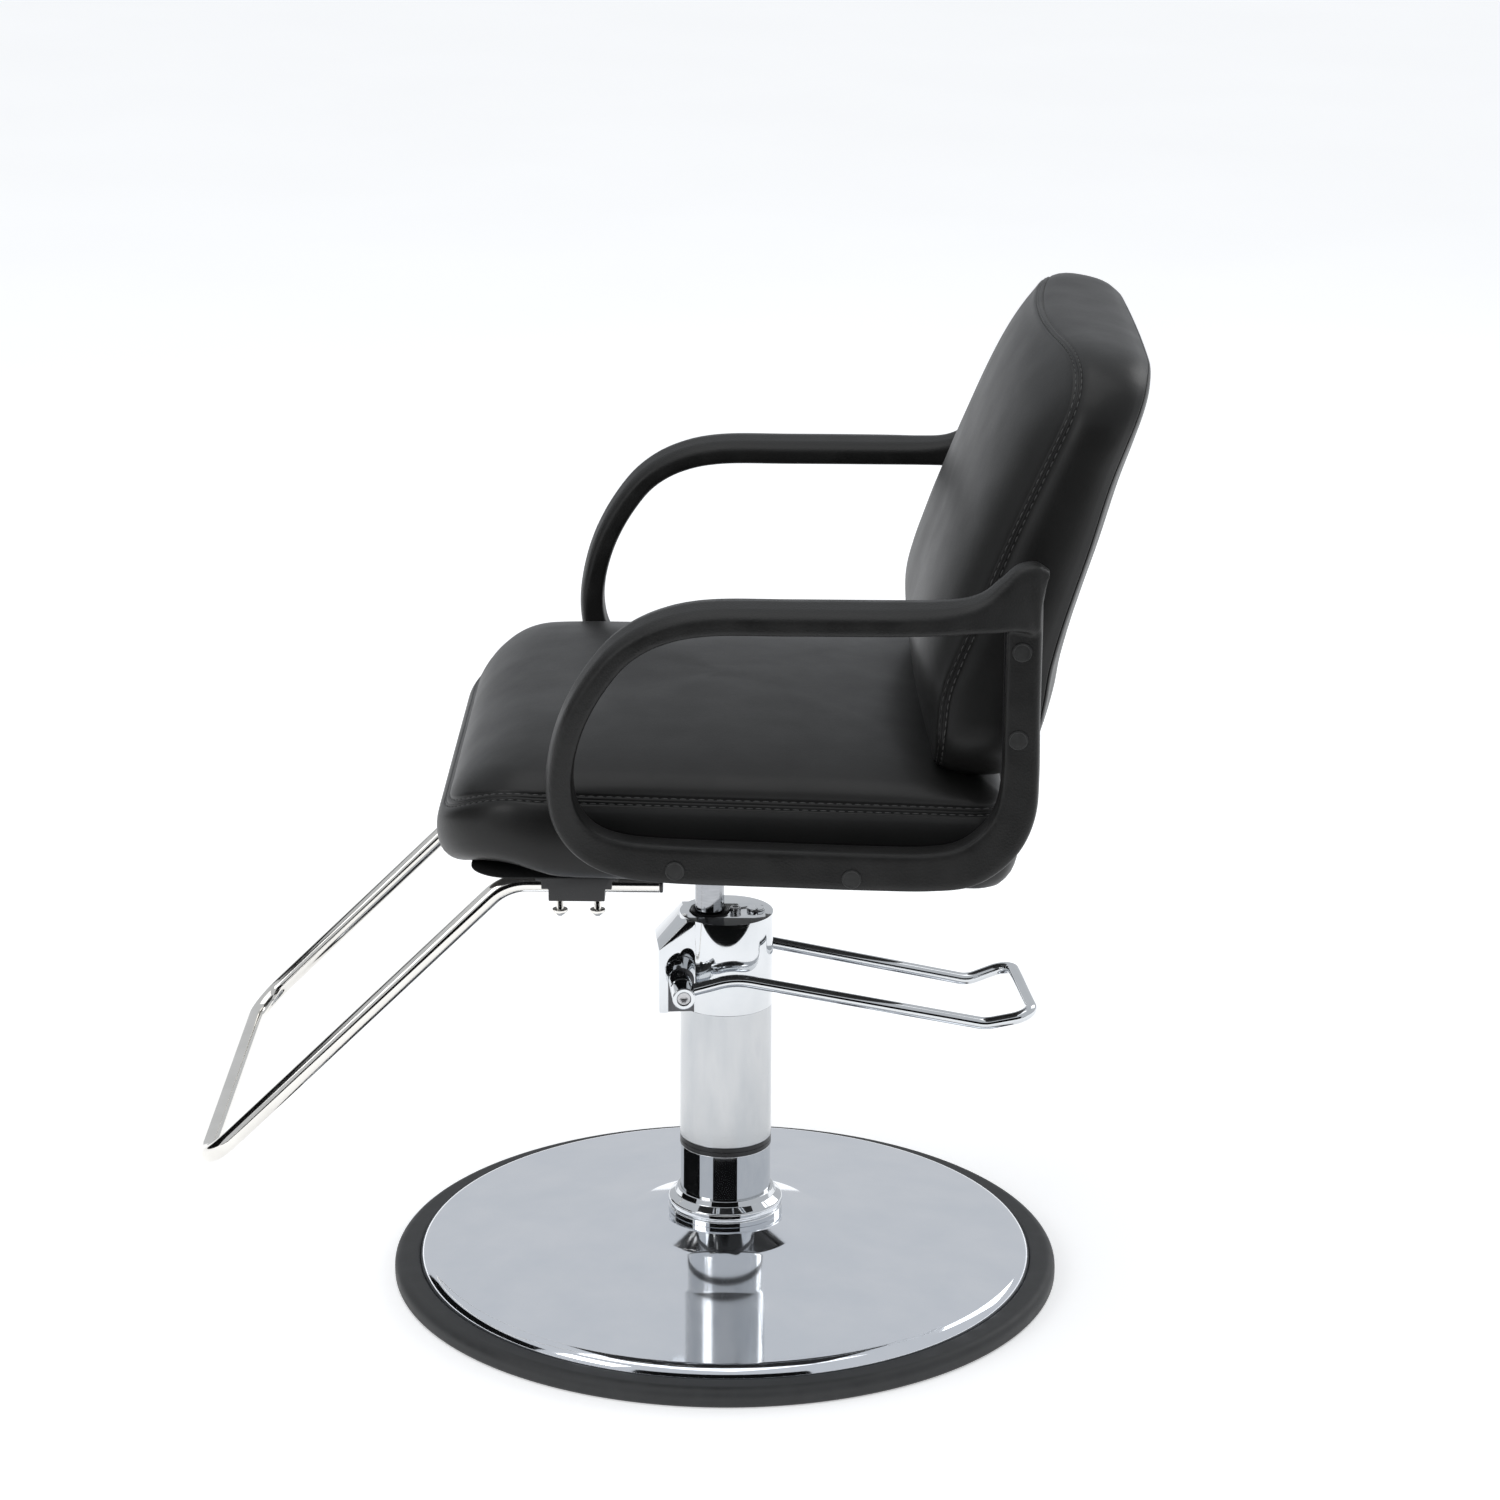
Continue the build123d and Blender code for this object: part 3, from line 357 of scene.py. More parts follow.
# ---- Pump foot --------------------------------------------------------------------
# Bright chromed tube with its foot flange, and the bell-shaped collar dropped over
# it. The collar's groove and rolled lip are turned.
mirror = Finish("pump_chrome")
smear = mirror.grain(0.03, detail=4.0)
pump_chrome = mirror.surface(
    Base_Color=mirror.tones(smear, (0.69, 0.71, 0.73), (0.74, 0.755, 0.77)),
    Metallic=1.0, Roughness=mirror.between(smear, 0.025, 0.07, 0.35, 0.75),
    Normal=mirror.relief(mirror.grain(0.012, detail=1.0), 0.0001, 0.06))
add_piece("pump_lower_tube_piece", turned("lower_tube", [
    (37.5, 71), (37.5, 57), (48, 57, 0.5), (48, 64, 1), (40.5, 64, 0.5), (40.5, 121, 0.6), (37.5, 121)], column),
    pump_chrome, "base", ["pump_lower_tube"])
add_piece("base_collar_piece", turned("collar", [
    (50.2, 57), (51.5, 57, 0.5), (51.5, 61.8, 0.8), (50.2, 62.3, 0.3), (50.2, 63.7, 0.3), (51.5, 64.3, 0.8),
    (51.5, 69.5, 3), (45.2, 74.2, 1.5), (43.4, 79, 0.8), (40.7, 79), (40.7, 74)], column),
    pump_chrome, "base", ["base_collar"])

# ---- Seal band --------------------------------------------------------------------
# Moulded band of black plastic with one groove, pushed in between the bright tube and
# the satin sleeve.
plastic = Finish("black_plastic")
plastic_cloud = plastic.grain(0.01, detail=3.0)
black_plastic = plastic.surface(
    Base_Color=plastic.tones(plastic_cloud, (0.010, 0.010, 0.011), (0.018, 0.018, 0.019)),
    Roughness=plastic.between(plastic_cloud, 0.26, 0.36),
    Normal=plastic.relief(plastic.grain(0.0008), 0.00004, 0.4))
add_piece("seal_band_piece", turned("seal_band", [
    (37.5, 121), (41, 121, 0.5), (41, 125, 0.2), (40.4, 125.3, 0.1), (41, 125.6, 0.2), (41, 129.4, 0.5),
    (37.5, 129.4)], column), black_plastic, "base", ["seal_band"])

# ---- Column sleeve ----------------------------------------------------------------
# Drawn steel sleeve with a pale satin finish, brushed round its axis. It slides over the
# pump's tube and stands on the seal band.
satin = Finish("satin_sleeve")
brushed = satin.grain(0.0025, detail=4.0, vector=satin.stretched(0.15, 0.15, 8))
water = satin.grain(0.02, detail=5.0, vector=satin.stretched(1, 1, 0.25))
satin_sleeve = satin.surface(
    Base_Color=satin.ramp(water, [(0.25, (0.49, 0.51, 0.53)), (0.6, (0.58, 0.59, 0.60)),
                                   (0.8, (0.53, 0.54, 0.56))]),
    Metallic=1.0, Roughness=0.07 + brushed * 0.18,
    Normal=satin.relief(brushed, 0.00003, 0.3))
add_piece("pump_sleeve_piece", turned("sleeve", [
    (37.5, 130), (37.5, 129.4), (41, 129.4, 0.6), (41, 256, 0.6), (37.5, 256), (37.5, 250)], column),
    satin_sleeve, "base", ["pump_sleeve"])


# ---- Pump cover -------------------------------------------------------------------
# Chromed steel cover over the pump's casting: a round drum with two flat cheeks in
# front, chamfered at the top, each with an arch slot for the pedal's hub.
def carved(name, solids, cuts, bevel=0.0, angle=30):
    """Joins the closed meshes, takes the cuts away and eases the edges."""
    def temporary(mesh):
        thing = bpy.data.objects.new("stock", mesh)
        bpy.context.scene.collection.objects.link(thing)
        return thing
    stock = temporary(solids[0])
    tools = [(temporary(m), "UNION") for m in solids[1:]] + [(temporary(m), "DIFFERENCE") for m in cuts]
    for tool, operation in tools:
        step = stock.modifiers.new(operation, "BOOLEAN")
        step.object, step.operation, step.solver = tool, operation, "EXACT"
    if bevel:
        ease = stock.modifiers.new("ease", "BEVEL")
        ease.width, ease.segments, ease.limit_method = bevel, 3, "ANGLE"
        ease.angle_limit = math.radians(angle)
        ease.use_clamp_overlap = True
    graph = bpy.context.evaluated_depsgraph_get()
    mesh = bpy.data.meshes.new_from_object(stock.evaluated_get(graph))
    mesh.name = name
    for thing in [stock] + [tool for tool, _ in tools]:
        bpy.data.objects.remove(thing)
    mesh.materials.clear()
    return mesh


def prism(name, outline, low, high, place):
    """A closed mesh: the outline in the place's XY plane, between two heights, in millimetres."""
    form = bmesh.new()
    ends = [[form.verts.new(place @ Vector((u / 1000, v / 1000, w / 1000))) for u, v in outline]
            for w in (low, high)]
    tube_faces(form, ends)
    return closed_form(name, form)


def circle(u, v, radius, steps=96, start=0, sweep=360):
    """Points round a circle or an arc, by degrees."""
    turns = steps if sweep == 360 else steps + 1
    return [(u + radius * math.cos(math.radians(start + sweep * k / steps)),
             v + radius * math.sin(math.radians(start + sweep * k / steps))) for k in range(turns)]


# seen from the side, Y and Z become the drawing's axes, and X its depth
side_on = Matrix(((0, 0, 1, 0), (1, 0, 0, 0), (0, 1, 0, 0), (0, 0, 0, 1)))
pump_side = pump @ side_on
cheeks = [(0, 256), (-62, 256), (-62, 314.8), (-37.5, 340.5), (0, 340.5)]
cheeks_inside = [(0, 250), (-59.5, 250), (-59.5, 313.8), (-36.5, 338), (0, 338)]
arch = circle(-42.6, 286.5, 11.5, 32, 0, 180) + [(-54.1, 250), (-31.1, 250)]
cover_mesh = carved("pump_cover", [
    prism("drum", circle(0, 0, 41.5, 192), 256, 341, pump), prism("cheeks", cheeks, -28.5, 28.5, pump_side)], [
    prism("drum_inside", circle(0, 0, 39, 128), 240, 338.3, pump),
    prism("cheeks_inside", cheeks_inside, -26, 26, pump_side),
    prism("arch", arch, -50, 50, pump_side),
    prism("rod_hole", circle(0, -15, 18.2, 96), 330, 350, pump),
    prism("bleed_hole", circle(0, 8, 4.2, 32), 330, 350, pump),
    prism("plug_hole", circle(0, 26, 7.2, 48), 330, 350, pump)], 0.0009)
add_piece("pump_head_cover_piece", cover_mesh, pump_chrome, "base", ["pump_head_cover"], 25)

# ---- Pump's casting and inner parts -----------------------------------------------
# The casting inside the cover, and the steel, bronze and black parts that show only
# through its openings. They keep their shapes.
cast = Finish("cast_metal")
sand = cast.grain(0.002, detail=4.0)
cast_metal = cast.surface(
    Base_Color=cast.tones(sand, (0.16, 0.16, 0.17), (0.24, 0.24, 0.25)), Metallic=0.9,
    Roughness=cast.between(sand, 0.5, 0.7), Normal=cast.relief(sand, 0.0003, 0.6))
steel = Finish("plain_steel")
lathe = steel.grain(0.002, detail=3.0, vector=steel.stretched(0.3, 0.3, 4))
plain_steel = steel.surface(
    Base_Color=steel.tones(lathe, (0.52, 0.52, 0.53), (0.64, 0.64, 0.65)), Metallic=1.0,
    Roughness=steel.between(lathe, 0.22, 0.34), Normal=steel.relief(lathe, 0.00004, 0.3))
oxide = Finish("black_steel")
oxide_bloom = oxide.grain(0.006, detail=4.0)
black_steel = oxide.surface(
    Base_Color=oxide.tones(oxide_bloom, (0.016, 0.016, 0.017), (0.030, 0.030, 0.031)), Metallic=0.6,
    Roughness=oxide.between(oxide_bloom, 0.38, 0.55), Normal=oxide.relief(oxide_bloom, 0.0001, 0.4))
gunmetal = Finish("bronze")
bronze_tone = gunmetal.grain(0.004, detail=3.0)
bronze = gunmetal.surface(
    Base_Color=gunmetal.tones(bronze_tone, (0.40, 0.24, 0.11), (0.50, 0.32, 0.16)), Metallic=1.0,
    Roughness=gunmetal.between(bronze_tone, 0.3, 0.42))


def dress(finish, *names):
    """Gives the CAD nodes this finish."""
    for name in names:
        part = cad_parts[name]
        for holder in part.material_slots:
            holder.material = finish


dress(cast_metal, "pump_head")
dress(plain_steel, "pressure_cylinder", "pump_plunger", "pedal_shaft", "pedal_cam",
      "lift_piston", "thrust_bearing", "pump_mount_bolts", "seat_plate_bolts", "arm_nuts")
dress(black_steel, "base_reinforcing_plate", "seat_mount_plate", "arm_core_left", "arm_core_right")
dress(bronze, "rod_guide_bush")
dress(black_plastic, "piston_seal", "rod_wiper_seal")

# ---- Plunger spring ---------------------------------------------------------------
# The plunger's return spring of round wire. Its top end stays against the casting, and
# it shortens as the plunger rises.
spring = add_piece("plunger_spring_piece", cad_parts["plunger_spring"].data.copy(), plain_steel, "base",
                   ["plunger_spring"], 0)
spring.data.materials.clear()
spring.data.materials.append(plain_steel)
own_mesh(spring)

# ---- Screws on the pump's top -----------------------------------------------------
# The bleed screw, of plain steel, has a hexagon socket, and the oil filler's chromed plug
# a coin slot. Both are screwed into the casting through the cover.
bleed_place = pump @ Matrix.Translation((0, 0.008, 0))
bleed = carved("bleed_screw", [turned("bleed_stock", [(0, 335), (5, 335), (5, 344, 0.8), (0, 344)],
                                      bleed_place, 48)],
               [prism("bleed_socket", circle(0, 0, 2.6, 6), 341.5, 350, bleed_place)], 0.00015)
add_piece("bleed_screw_piece", bleed, plain_steel, "base", ["bleed_screw"], 30)
plug_place = pump @ Matrix.Translation((0, 0.026, 0))
plug = carved("oil_plug", [turned("plug_stock", [(0, 335), (6.9, 335), (6.9, 341), (8, 341), (8, 343, 0.7),
                                                 (0, 343.2)], plug_place, 64)],
              [prism("coin_slot", [(-9, -0.7), (9, -0.7), (9, 0.7), (-9, 0.7)], 341.8, 350, plug_place)], 0.00012)
add_piece("oil_filler_plug_piece", plug, pump_chrome, "base", ["oil_filler_plug"], 30)

# ---- Piston rod -------------------------------------------------------------------
# Ground steel rod that carries the seat. It slides and turns in the pump, and its top
# sits in the seat plate's socket.
ground = Finish("ground_rod")
scores = ground.grain(0.002, detail=3.0, vector=ground.stretched(0.2, 0.2, 6))
ground_rod = ground.surface(
    Base_Color=ground.tones(scores, (0.33, 0.34, 0.36), (0.44, 0.45, 0.47)), Metallic=1.0,
    Roughness=0.05 + scores * 0.1)
add_piece("piston_rod_piece", turned("piston_rod", [
    (0, 101), (13, 101, 1), (13, 446, 1.5), (0, 446)], upright("piston_rod"), 96),
    ground_rod, "chair", ["piston_rod"])

# ---- Pedal ------------------------------------------------------------------------
# Two turned steel hubs on the shaft's ends, and a loop of 11 mm rod welded between
# them, all chromed. Grub screws grip the shaft and socket screws close the ends.
for side, word in ((1, "left"), (-1, "right")):
    hub_place = pump_side @ Matrix.Translation((-0.044, 0.2865, 0)) @ Matrix.Scale(side, 4, (0, 0, 1))
    hub = turned("hub_" + word, [
        (7.05, 40), (7.05, 29.5), (10, 29.5, 0.6), (10, 51.6, 0.5), (9.4, 52.2, 0.2), (9.4, 54.2, 0.2),
        (10, 54.8, 0.5), (10, 77, 1.2), (6.2, 77, 0.5), (6.2, 69)], hub_place, 96)
    add_piece("pedal_hub_" + word, hub, pump_chrome, "pedal", ["pedal_hubs"])
    end = carved("end_screw_" + word, [turned("end_stock", [(0, 68), (6, 68), (6, 76, 0.6), (0, 76)],
                                              hub_place, 48)],
                 [prism("end_socket", circle(0, 0, 3.4, 6), 72, 80, hub_place)], 0.0001)
    add_piece("pedal_end_screw_" + word, end, plain_steel, "pedal", ["pedal_end_screws"], 30)
    grub_place = pump @ Matrix.Translation((side * 0.040, -0.044, 0))
    grub = carved("grub_" + word, [turned("grub_stock", [(0, 293.5), (2.9, 293.5), (2.9, 297.5, 0.3), (0, 297.5)],
                                          grub_place, 32)],
                  [prism("grub_socket", circle(0, 0, 1.6, 6), 296, 300, grub_place)], 0.00008)
    add_piece("pedal_set_screw_" + word, grub, black_steel, "pedal", ["pedal_set_screws"], 30)


def bent_rod(name, corners, radius, place, segments=32):
    """A round rod along (x, y, z, bend radius) corners in millimetres, with eased ends."""
    arc_step, ease, longest_run = 0.0035, 0.0006, 0.02
    points = [place @ (Vector(c[:3]) / 1000) for c in corners]
    path = [points[0]]
    for i in range(1, len(points) - 1):
        here = points[i]
        before, after = points[i - 1] - here, points[i + 1] - here
        half = before.angle(after) / 2
        bend = corners[i][3] / 1000
        reach = bend / math.tan(half)
        middle = here + (before.normalized() + after.normalized()).normalized() * (bend / math.sin(half))
        start, stop = here + before.normalized() * reach - middle, here + after.normalized() * reach - middle
        turn = start.angle(stop)
        count = max(6, int(turn * bend / arc_step))
        for k in range(count + 1):
            a = turn * k / count
            path.append(middle + (start * math.sin(turn - a) + stop * math.sin(a)) / math.sin(turn))
    path.append(points[-1])
    dense = [path[0]]
    for a, b in zip(path, path[1:]):
        parts = max(1, int((b - a).length / longest_run))
        dense += [a.lerp(b, (k + 1) / parts) for k in range(parts)]
    form = bmesh.new()
    across = (dense[1] - dense[0]).normalized().orthogonal().normalized()
    rings = []
    last = len(dense) - 1
    for i, point in enumerate(dense):
        heading = (dense[min(i + 1, last)] - dense[max(i - 1, 0)]).normalized()
        across = (across - heading * across.dot(heading)).normalized()
        other = heading.cross(across)
        sizes = [(0, radius / 1000)]
        if i == 0:
            sizes = [(0, radius / 1000 - ease), (ease, radius / 1000)]
        if i == last:
            sizes = [(-ease, radius / 1000), (0, radius / 1000 - ease)]
        for shift, size in sizes:
            rings.append([form.verts.new(point + heading * shift + size * (
                across * math.cos(math.tau * k / segments) + other * math.sin(math.tau * k / segments)))
                for k in range(segments)])
    tube_faces(form, rings)
    return closed_form(name, form)


pedal_half = [(61, -34.6, 288.9), (61, 2, 298, 60), (57.5, 226, 248, 28), (67, 268, 259, 16)]


def both_sides(half):
    """A line of corners from the left end to the middle, and back along the right."""
    return half + [(-corner[0], *corner[1:]) for corner in reversed(half)]


add_piece("pedal_loop_piece", bent_rod("pedal_loop", both_sides(pedal_half), 5.5, pump), pump_chrome, "pedal",
          ["pedal_loop"])

# ---- Footrest ---------------------------------------------------------------------
# One 16 mm steel tube bent to a U, with a slightly warm chrome. Black plugs close its
# ends under the seat.
warm = Finish("footrest_chrome")
warm_haze = warm.grain(0.03, detail=4.0)
footrest_chrome = warm.surface(
    Base_Color=warm.tones(warm_haze, (0.80, 0.78, 0.74), (0.87, 0.85, 0.81)), Metallic=1.0,
    Roughness=warm.between(warm_haze, 0.06, 0.12, 0.35, 0.75),
    Normal=warm.relief(warm.grain(0.01, detail=1.0), 0.0001, 0.05))
footrest_drop = math.radians(44.5)
knee_y = -429 + (432 - 174.5) / math.tan(footrest_drop)
footrest_half = [(194, -38, 432), (194, knee_y, 432, 45), (194, -429, 174.5, 34)]
add_piece("footrest_tube_piece", bent_rod("footrest_tube", both_sides(footrest_half), 8, Matrix(), 40),
          footrest_chrome, "chair", ["footrest_tube"])
lengthwise = Matrix(((1, 0, 0, 0), (0, 0, 1, 0), (0, 1, 0, 0), (0, 0, 0, 1)))
for side, word in ((1, "left"), (-1, "right")):
    plug_at = Matrix.Translation((side * 0.194, 0, 0.432)) @ lengthwise
    add_piece("footrest_plug_" + word, turned("tube_plug_" + word, [
        (0, -46), (6.4, -46), (6.4, -38), (8, -38, 0.3), (8, -35.5, 1.4), (0, -35.5)], plug_at, 48),
        black_plastic, "chair", ["footrest_tube_plugs"])

# ---- Footrest brackets ------------------------------------------------------------
# Moulded black clamps under the seat, stepped at the front and rear, each held by two
# broad-headed screws.
bracket_steps = [(-142, 452), (-142, 437.5), (-137, 437.5), (-137, 430), (-131, 430), (-131, 419.5),
                 (-84, 419.5), (-84, 430), (-78, 430), (-78, 437.5), (-72, 437.5), (-72, 452)]
cross_a, cross_b = ([(-2.4, -0.45), (2.4, -0.45), (2.4, 0.45), (-2.4, 0.45)],
                    [(-0.45, -2.4), (0.45, -2.4), (0.45, 2.4), (-0.45, 2.4)])
for word in ("left", "right"):
    low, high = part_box("footrest_bracket_" + word)
    middle = (low.x + high.x) / 2
    side_plane = Matrix.Translation((middle, 0, 0)) @ side_on
    bracket = carved("bracket_" + word, [prism("clamp", bracket_steps, -12.5, 12.5, side_plane)], [], 0.0009)
    add_piece("footrest_bracket_%s_piece" % word, bracket, black_plastic, "chair",
              ["footrest_bracket_" + word], 30)
    for row in (-122, -90.5):
        screw_at = Matrix.Translation((middle, row / 1000, 0))
        screw = carved("footrest_screw", [turned("screw_stock", [
            (0, 402.8), (2.2, 403), (6.5, 406.8, 1.6), (6.5, 409, 0.4), (3, 409), (3, 425), (0, 425)],
            screw_at, 48)], [
            prism("cross", bar, 400, 404.6, screw_at) for bar in (cross_a, cross_b)], 0.0001)
        add_piece("footrest_screw_%s_%d" % (word, -row), screw, footrest_chrome, "chair",
                  ["footrest_screws"], 30)

# ---- Arms -------------------------------------------------------------------------
# Each arm is one loop of black integral-skin polyurethane over a steel core: a broad
# crowned strap on top, a slimmer bar under the seat and a post behind, with a fine
# leather grain.
skin = Finish("arm_polyurethane")
pebble = skin.pits(0.0016)
scuff = skin.grain(0.03, detail=5.0)
arm_skin = skin.surface(
    Base_Color=skin.tones(scuff, (0.0080, 0.0079, 0.0076), (0.0135, 0.0133, 0.0128)),
    Roughness=skin.between(scuff, 0.40, 0.50), Specular_IOR_Level=0.30,
    Normal=skin.relief(pebble, 0.00025, 0.55, skin.relief(skin.grain(0.006), 0.0003, 0.2)))


def between_rows(a, b, c, d, t):
    """Catmull-Rom: a share t of the way from b to c, with a and d as their neighbours."""
    return 0.5 * (2 * b + (c - a) * t + (2 * a - 5 * b + 4 * c - d) * t * t + (3 * b - a - 3 * c + d) * t ** 3)


def smooth_through(rows, count):
    """Rows of numbers resampled smoothly to this many rows per gap."""
    rows = np.array(rows, float)
    padded_rows = np.vstack([2 * rows[0] - rows[1], rows, 2 * rows[-1] - rows[-2]])
    out = []
    for i in range(len(rows) - 1):
        out += [between_rows(*padded_rows[i:i + 4], k / count) for k in range(count)]
    out.append(rows[-1])
    return np.array(out)


# along the loop: y, z of the middle, X of the inner and outer faces, thickness, crown
arm_stations = [
    (270, 707, 282, 296, 36, 2), (267.5, 707.2, 278, 300.5, 54, 3), (257, 706.6, 277, 304, 57, 3.5),
    (244, 703, 277, 309, 44, 4.5), (229, 698, 277, 314.5, 32.5, 5), (212, 695.4, 277.2, 320, 25.5, 6),
    (188, 694.6, 277.5, 327.5, 23.2, 7), (150, 694.5, 277.5, 332, 23, 7),
    (70, 694.5, 277.5, 332.5, 23, 7), (5, 694, 277.5, 332.5, 23, 7), (-34, 686, 277.5, 331.5, 22.5, 7),
    (-64, 669, 277.2, 330, 22, 6.5), (-86, 643, 276.5, 327, 22, 6), (-103, 612, 275, 322.5, 22, 5.5),
    (-113, 580, 273.5, 317, 22, 5), (-116.5, 548, 272.5, 311, 22.5, 4), (-111, 520, 272, 306, 24.5, 3.5),
    (-95, 499, 272, 302, 28, 3), (-70, 487, 272, 300, 31.5, 2.5), (-30, 482, 272, 300, 33, 2),
    (60, 479, 272, 300, 33, 2), (140, 476.8, 272, 300, 33, 2), (185, 477, 272, 300, 33.5, 2),
    (215, 482.5, 272, 300, 36, 2.5), (239, 501, 272, 300, 36, 3), (252, 526, 272, 300, 33.5, 3),
    (255.5, 558, 272, 300, 30.5, 2.5), (255.5, 600, 272, 300, 29.5, 2.5), (255.7, 650, 272, 300, 29.2, 2.5),
    (256, 695, 273, 300, 28.5, 2.5), (257, 722, 274, 300, 24, 2.5)]


def arm_loop(name):
    """The loop's mesh: rounded-square sections along the stations, melted into one skin."""
    section_points, squareness = 56, 9
    path = smooth_through(arm_stations, 8) / 1000
    heading = np.gradient(path[:, :2], axis=0)
    heading /= np.linalg.norm(heading, axis=1)[:, None]
    outward = np.stack([heading[:, 1], -heading[:, 0]], axis=1)
    # the loop runs forward over the top, so its outside is on the heading's right
    around = np.linspace(0, math.tau, section_points, endpoint=False)
    box_x, box_t = (np.sign(wave) * np.abs(wave) ** (2 / squareness) for wave in (np.cos(around), np.sin(around)))
    form = bmesh.new()
    rings = []
    for (y, z, inner, outer, thick, crown), out in zip(path, outward):
        half = (outer - inner) / 2
        lift = np.where(box_t > 0, thick / 2 * box_t - crown * box_x ** 2 * np.clip(box_t * 1.2, 0, 1),
                        thick / 2 * box_t)
        xs = (inner + outer) / 2 + half * box_x
        rings.append([form.verts.new((x, y + out[0] * t, z + out[1] * t)) for x, t in zip(xs, lift)])
    tube_faces(form, rings)
    thing = bpy.data.objects.new("loop", closed_form(name, form))
    bpy.context.scene.collection.objects.link(thing)
    voxels = thing.modifiers.new("skin", "REMESH")
    voxels.mode, voxels.voxel_size = "VOXEL", 0.0018
    relax = thing.modifiers.new("relax", "SMOOTH")
    relax.factor, relax.iterations = 0.5, 3
    done = bpy.data.meshes.new_from_object(thing.evaluated_get(bpy.context.evaluated_depsgraph_get()))
    bpy.data.objects.remove(thing)
    return done


arm_mesh = arm_loop("arm_left_mesh")
add_piece("arm_left_piece", arm_mesh, arm_skin, "chair", ["arm_left"], 0)
arm_mesh_right = arm_mesh.copy()
arm_mesh_right.transform(Matrix.Scale(-1, 4, (1, 0, 0)))
arm_mesh_right.flip_normals()
arm_mesh_right.materials.clear()
add_piece("arm_right_piece", arm_mesh_right, arm_skin, "chair", ["arm_right"], 0)

# ---- Arm screws and caps ----------------------------------------------------------
# Four steel screws go through each arm into the nuts in the boards. A moulded black cap,
# pressed in flush, covers each head.
moulded = Finish("cap_plastic")
cap_cloud = moulded.grain(0.004, detail=2.0)
cap_plastic = moulded.surface(
    Base_Color=moulded.tones(cap_cloud, (0.018, 0.018, 0.0175), (0.024, 0.024, 0.0235)),
    Roughness=moulded.between(cap_cloud, 0.36, 0.44), Specular_IOR_Level=0.4,
    Normal=moulded.relief(moulded.grain(0.0009), 0.00005, 0.4))
cap_outline = [(0, 294), (7.9, 294), (7.9, 301.2, 0.9), (6.6, 301.2, 0.3), (6.3, 300.9, 0.3), (0, 301.1)]
arm_screw_places = [(-23, 478.5), (120, 472.7), (252, 591), (253.4, 664)]
for side, word in ((1, "left"), (-1, "right")):
    for number, (y, z) in enumerate(arm_screw_places, 1):
        spot = Matrix.Scale(side, 4, (1, 0, 0)) @ Matrix.Translation((0, y / 1000, z / 1000)) @ side_on
        add_piece("arm_cap_%s_%d" % (word, number), turned("cap", cap_outline, spot, 64), cap_plastic, "chair",
                  ["arm_screw_caps"])
dress(plain_steel, "arm_screws")

# ---- Seat cushion -----------------------------------------------------------------
# Foam pad in black vinyl: a crowned top panel and one side band, joined by a seam
# that is stitched down along both sides. The vinyl goes under the board.
hide = Finish("black_vinyl")
pores = hide.pits(0.0013)
cloud = hide.grain(0.05, detail=4.0)
creases = hide.grain(0.009, detail=4.0, roughness=0.6, warp=0.6)
black_vinyl = hide.surface(
    Base_Color=hide.tones(cloud, (0.0068, 0.0067, 0.0064), (0.0105, 0.0103, 0.0099)),
    Roughness=0.47 - cloud * 0.14 + pores * 0.04, Specular_IOR_Level=0.27, Coat_Weight=0.05,
    Coat_Roughness=0.22, Normal=hide.relief(pores * 0.3 + creases * 0.7, 0.0005, 0.2))
# The thread's grey is partly its own dark colour and partly painted highlight: its tones are lifted well above the
# vinyl's so the stitches read as light glints along the seam.
sewing = Finish("sewing_thread")
twist = sewing.grain(0.0006, detail=2.0)
thread_with_painted_highlight = sewing.surface(
    Base_Color=sewing.tones(twist, (0.035, 0.035, 0.034), (0.08, 0.08, 0.078)), Roughness=0.5)


def evenly_round(half, count):
    """Evenly spaced points round the outline that has this left half, from its middle low side."""
    outline = half + [Vector((-p.x, p.y)) for p in reversed(half[1:-1])] + half[:1]
    length = np.concatenate([[0], np.cumsum([(b - a).length for a, b in zip(outline, outline[1:])])])
    at = np.linspace(0, length[-1], count, endpoint=False)
    return np.stack([np.interp(at, length, [p.x for p in outline]),
                     np.interp(at, length, [p.y for p in outline])], axis=1)


def away_from(heart, plan):
    """Unit directions out of the plan's outline, round its heart."""
    away = np.roll(plan, -1, 0) - np.roll(plan, 1, 0)
    away = np.stack([away[:, 1], -away[:, 0]], axis=1)
    away /= np.linalg.norm(away, axis=1)[:, None]
    return -away if np.mean(np.sum(away * (plan - heart), axis=1)) < 0 else away


def across_rows(grid, at, wanted):
    """Smooth rows of points resampled from distances at to the wanted distances."""
    out = np.empty((len(wanted),) + grid.shape[1:])
    slopes = np.gradient(grid, at, axis=0)
    cell = np.clip(np.searchsorted(at, wanted, side="right") - 1, 0, len(at) - 2)
    for row, (i, s) in enumerate(zip(cell, wanted)):
        h = at[i + 1] - at[i]
        t = (s - at[i]) / h
        out[row] = ((2 * t ** 3 - 3 * t ** 2 + 1) * grid[i] + (t ** 3 - 2 * t ** 2 + t) * h * slopes[i]
                    + (3 * t ** 2 - 2 * t ** 3) * grid[i + 1] + (t ** 3 - t ** 2) * h * slopes[i + 1])
    return out


def round_rows(grid, factor):
    """Closed rings of points with this many times as many points."""
    out = np.empty((grid.shape[0], grid.shape[1] * factor, 3))
    for k in range(factor):
        out[:, k::factor] = between_rows(*(np.roll(grid, shift, 1) for shift in (1, 0, -1, -2)), k / factor)
    return out


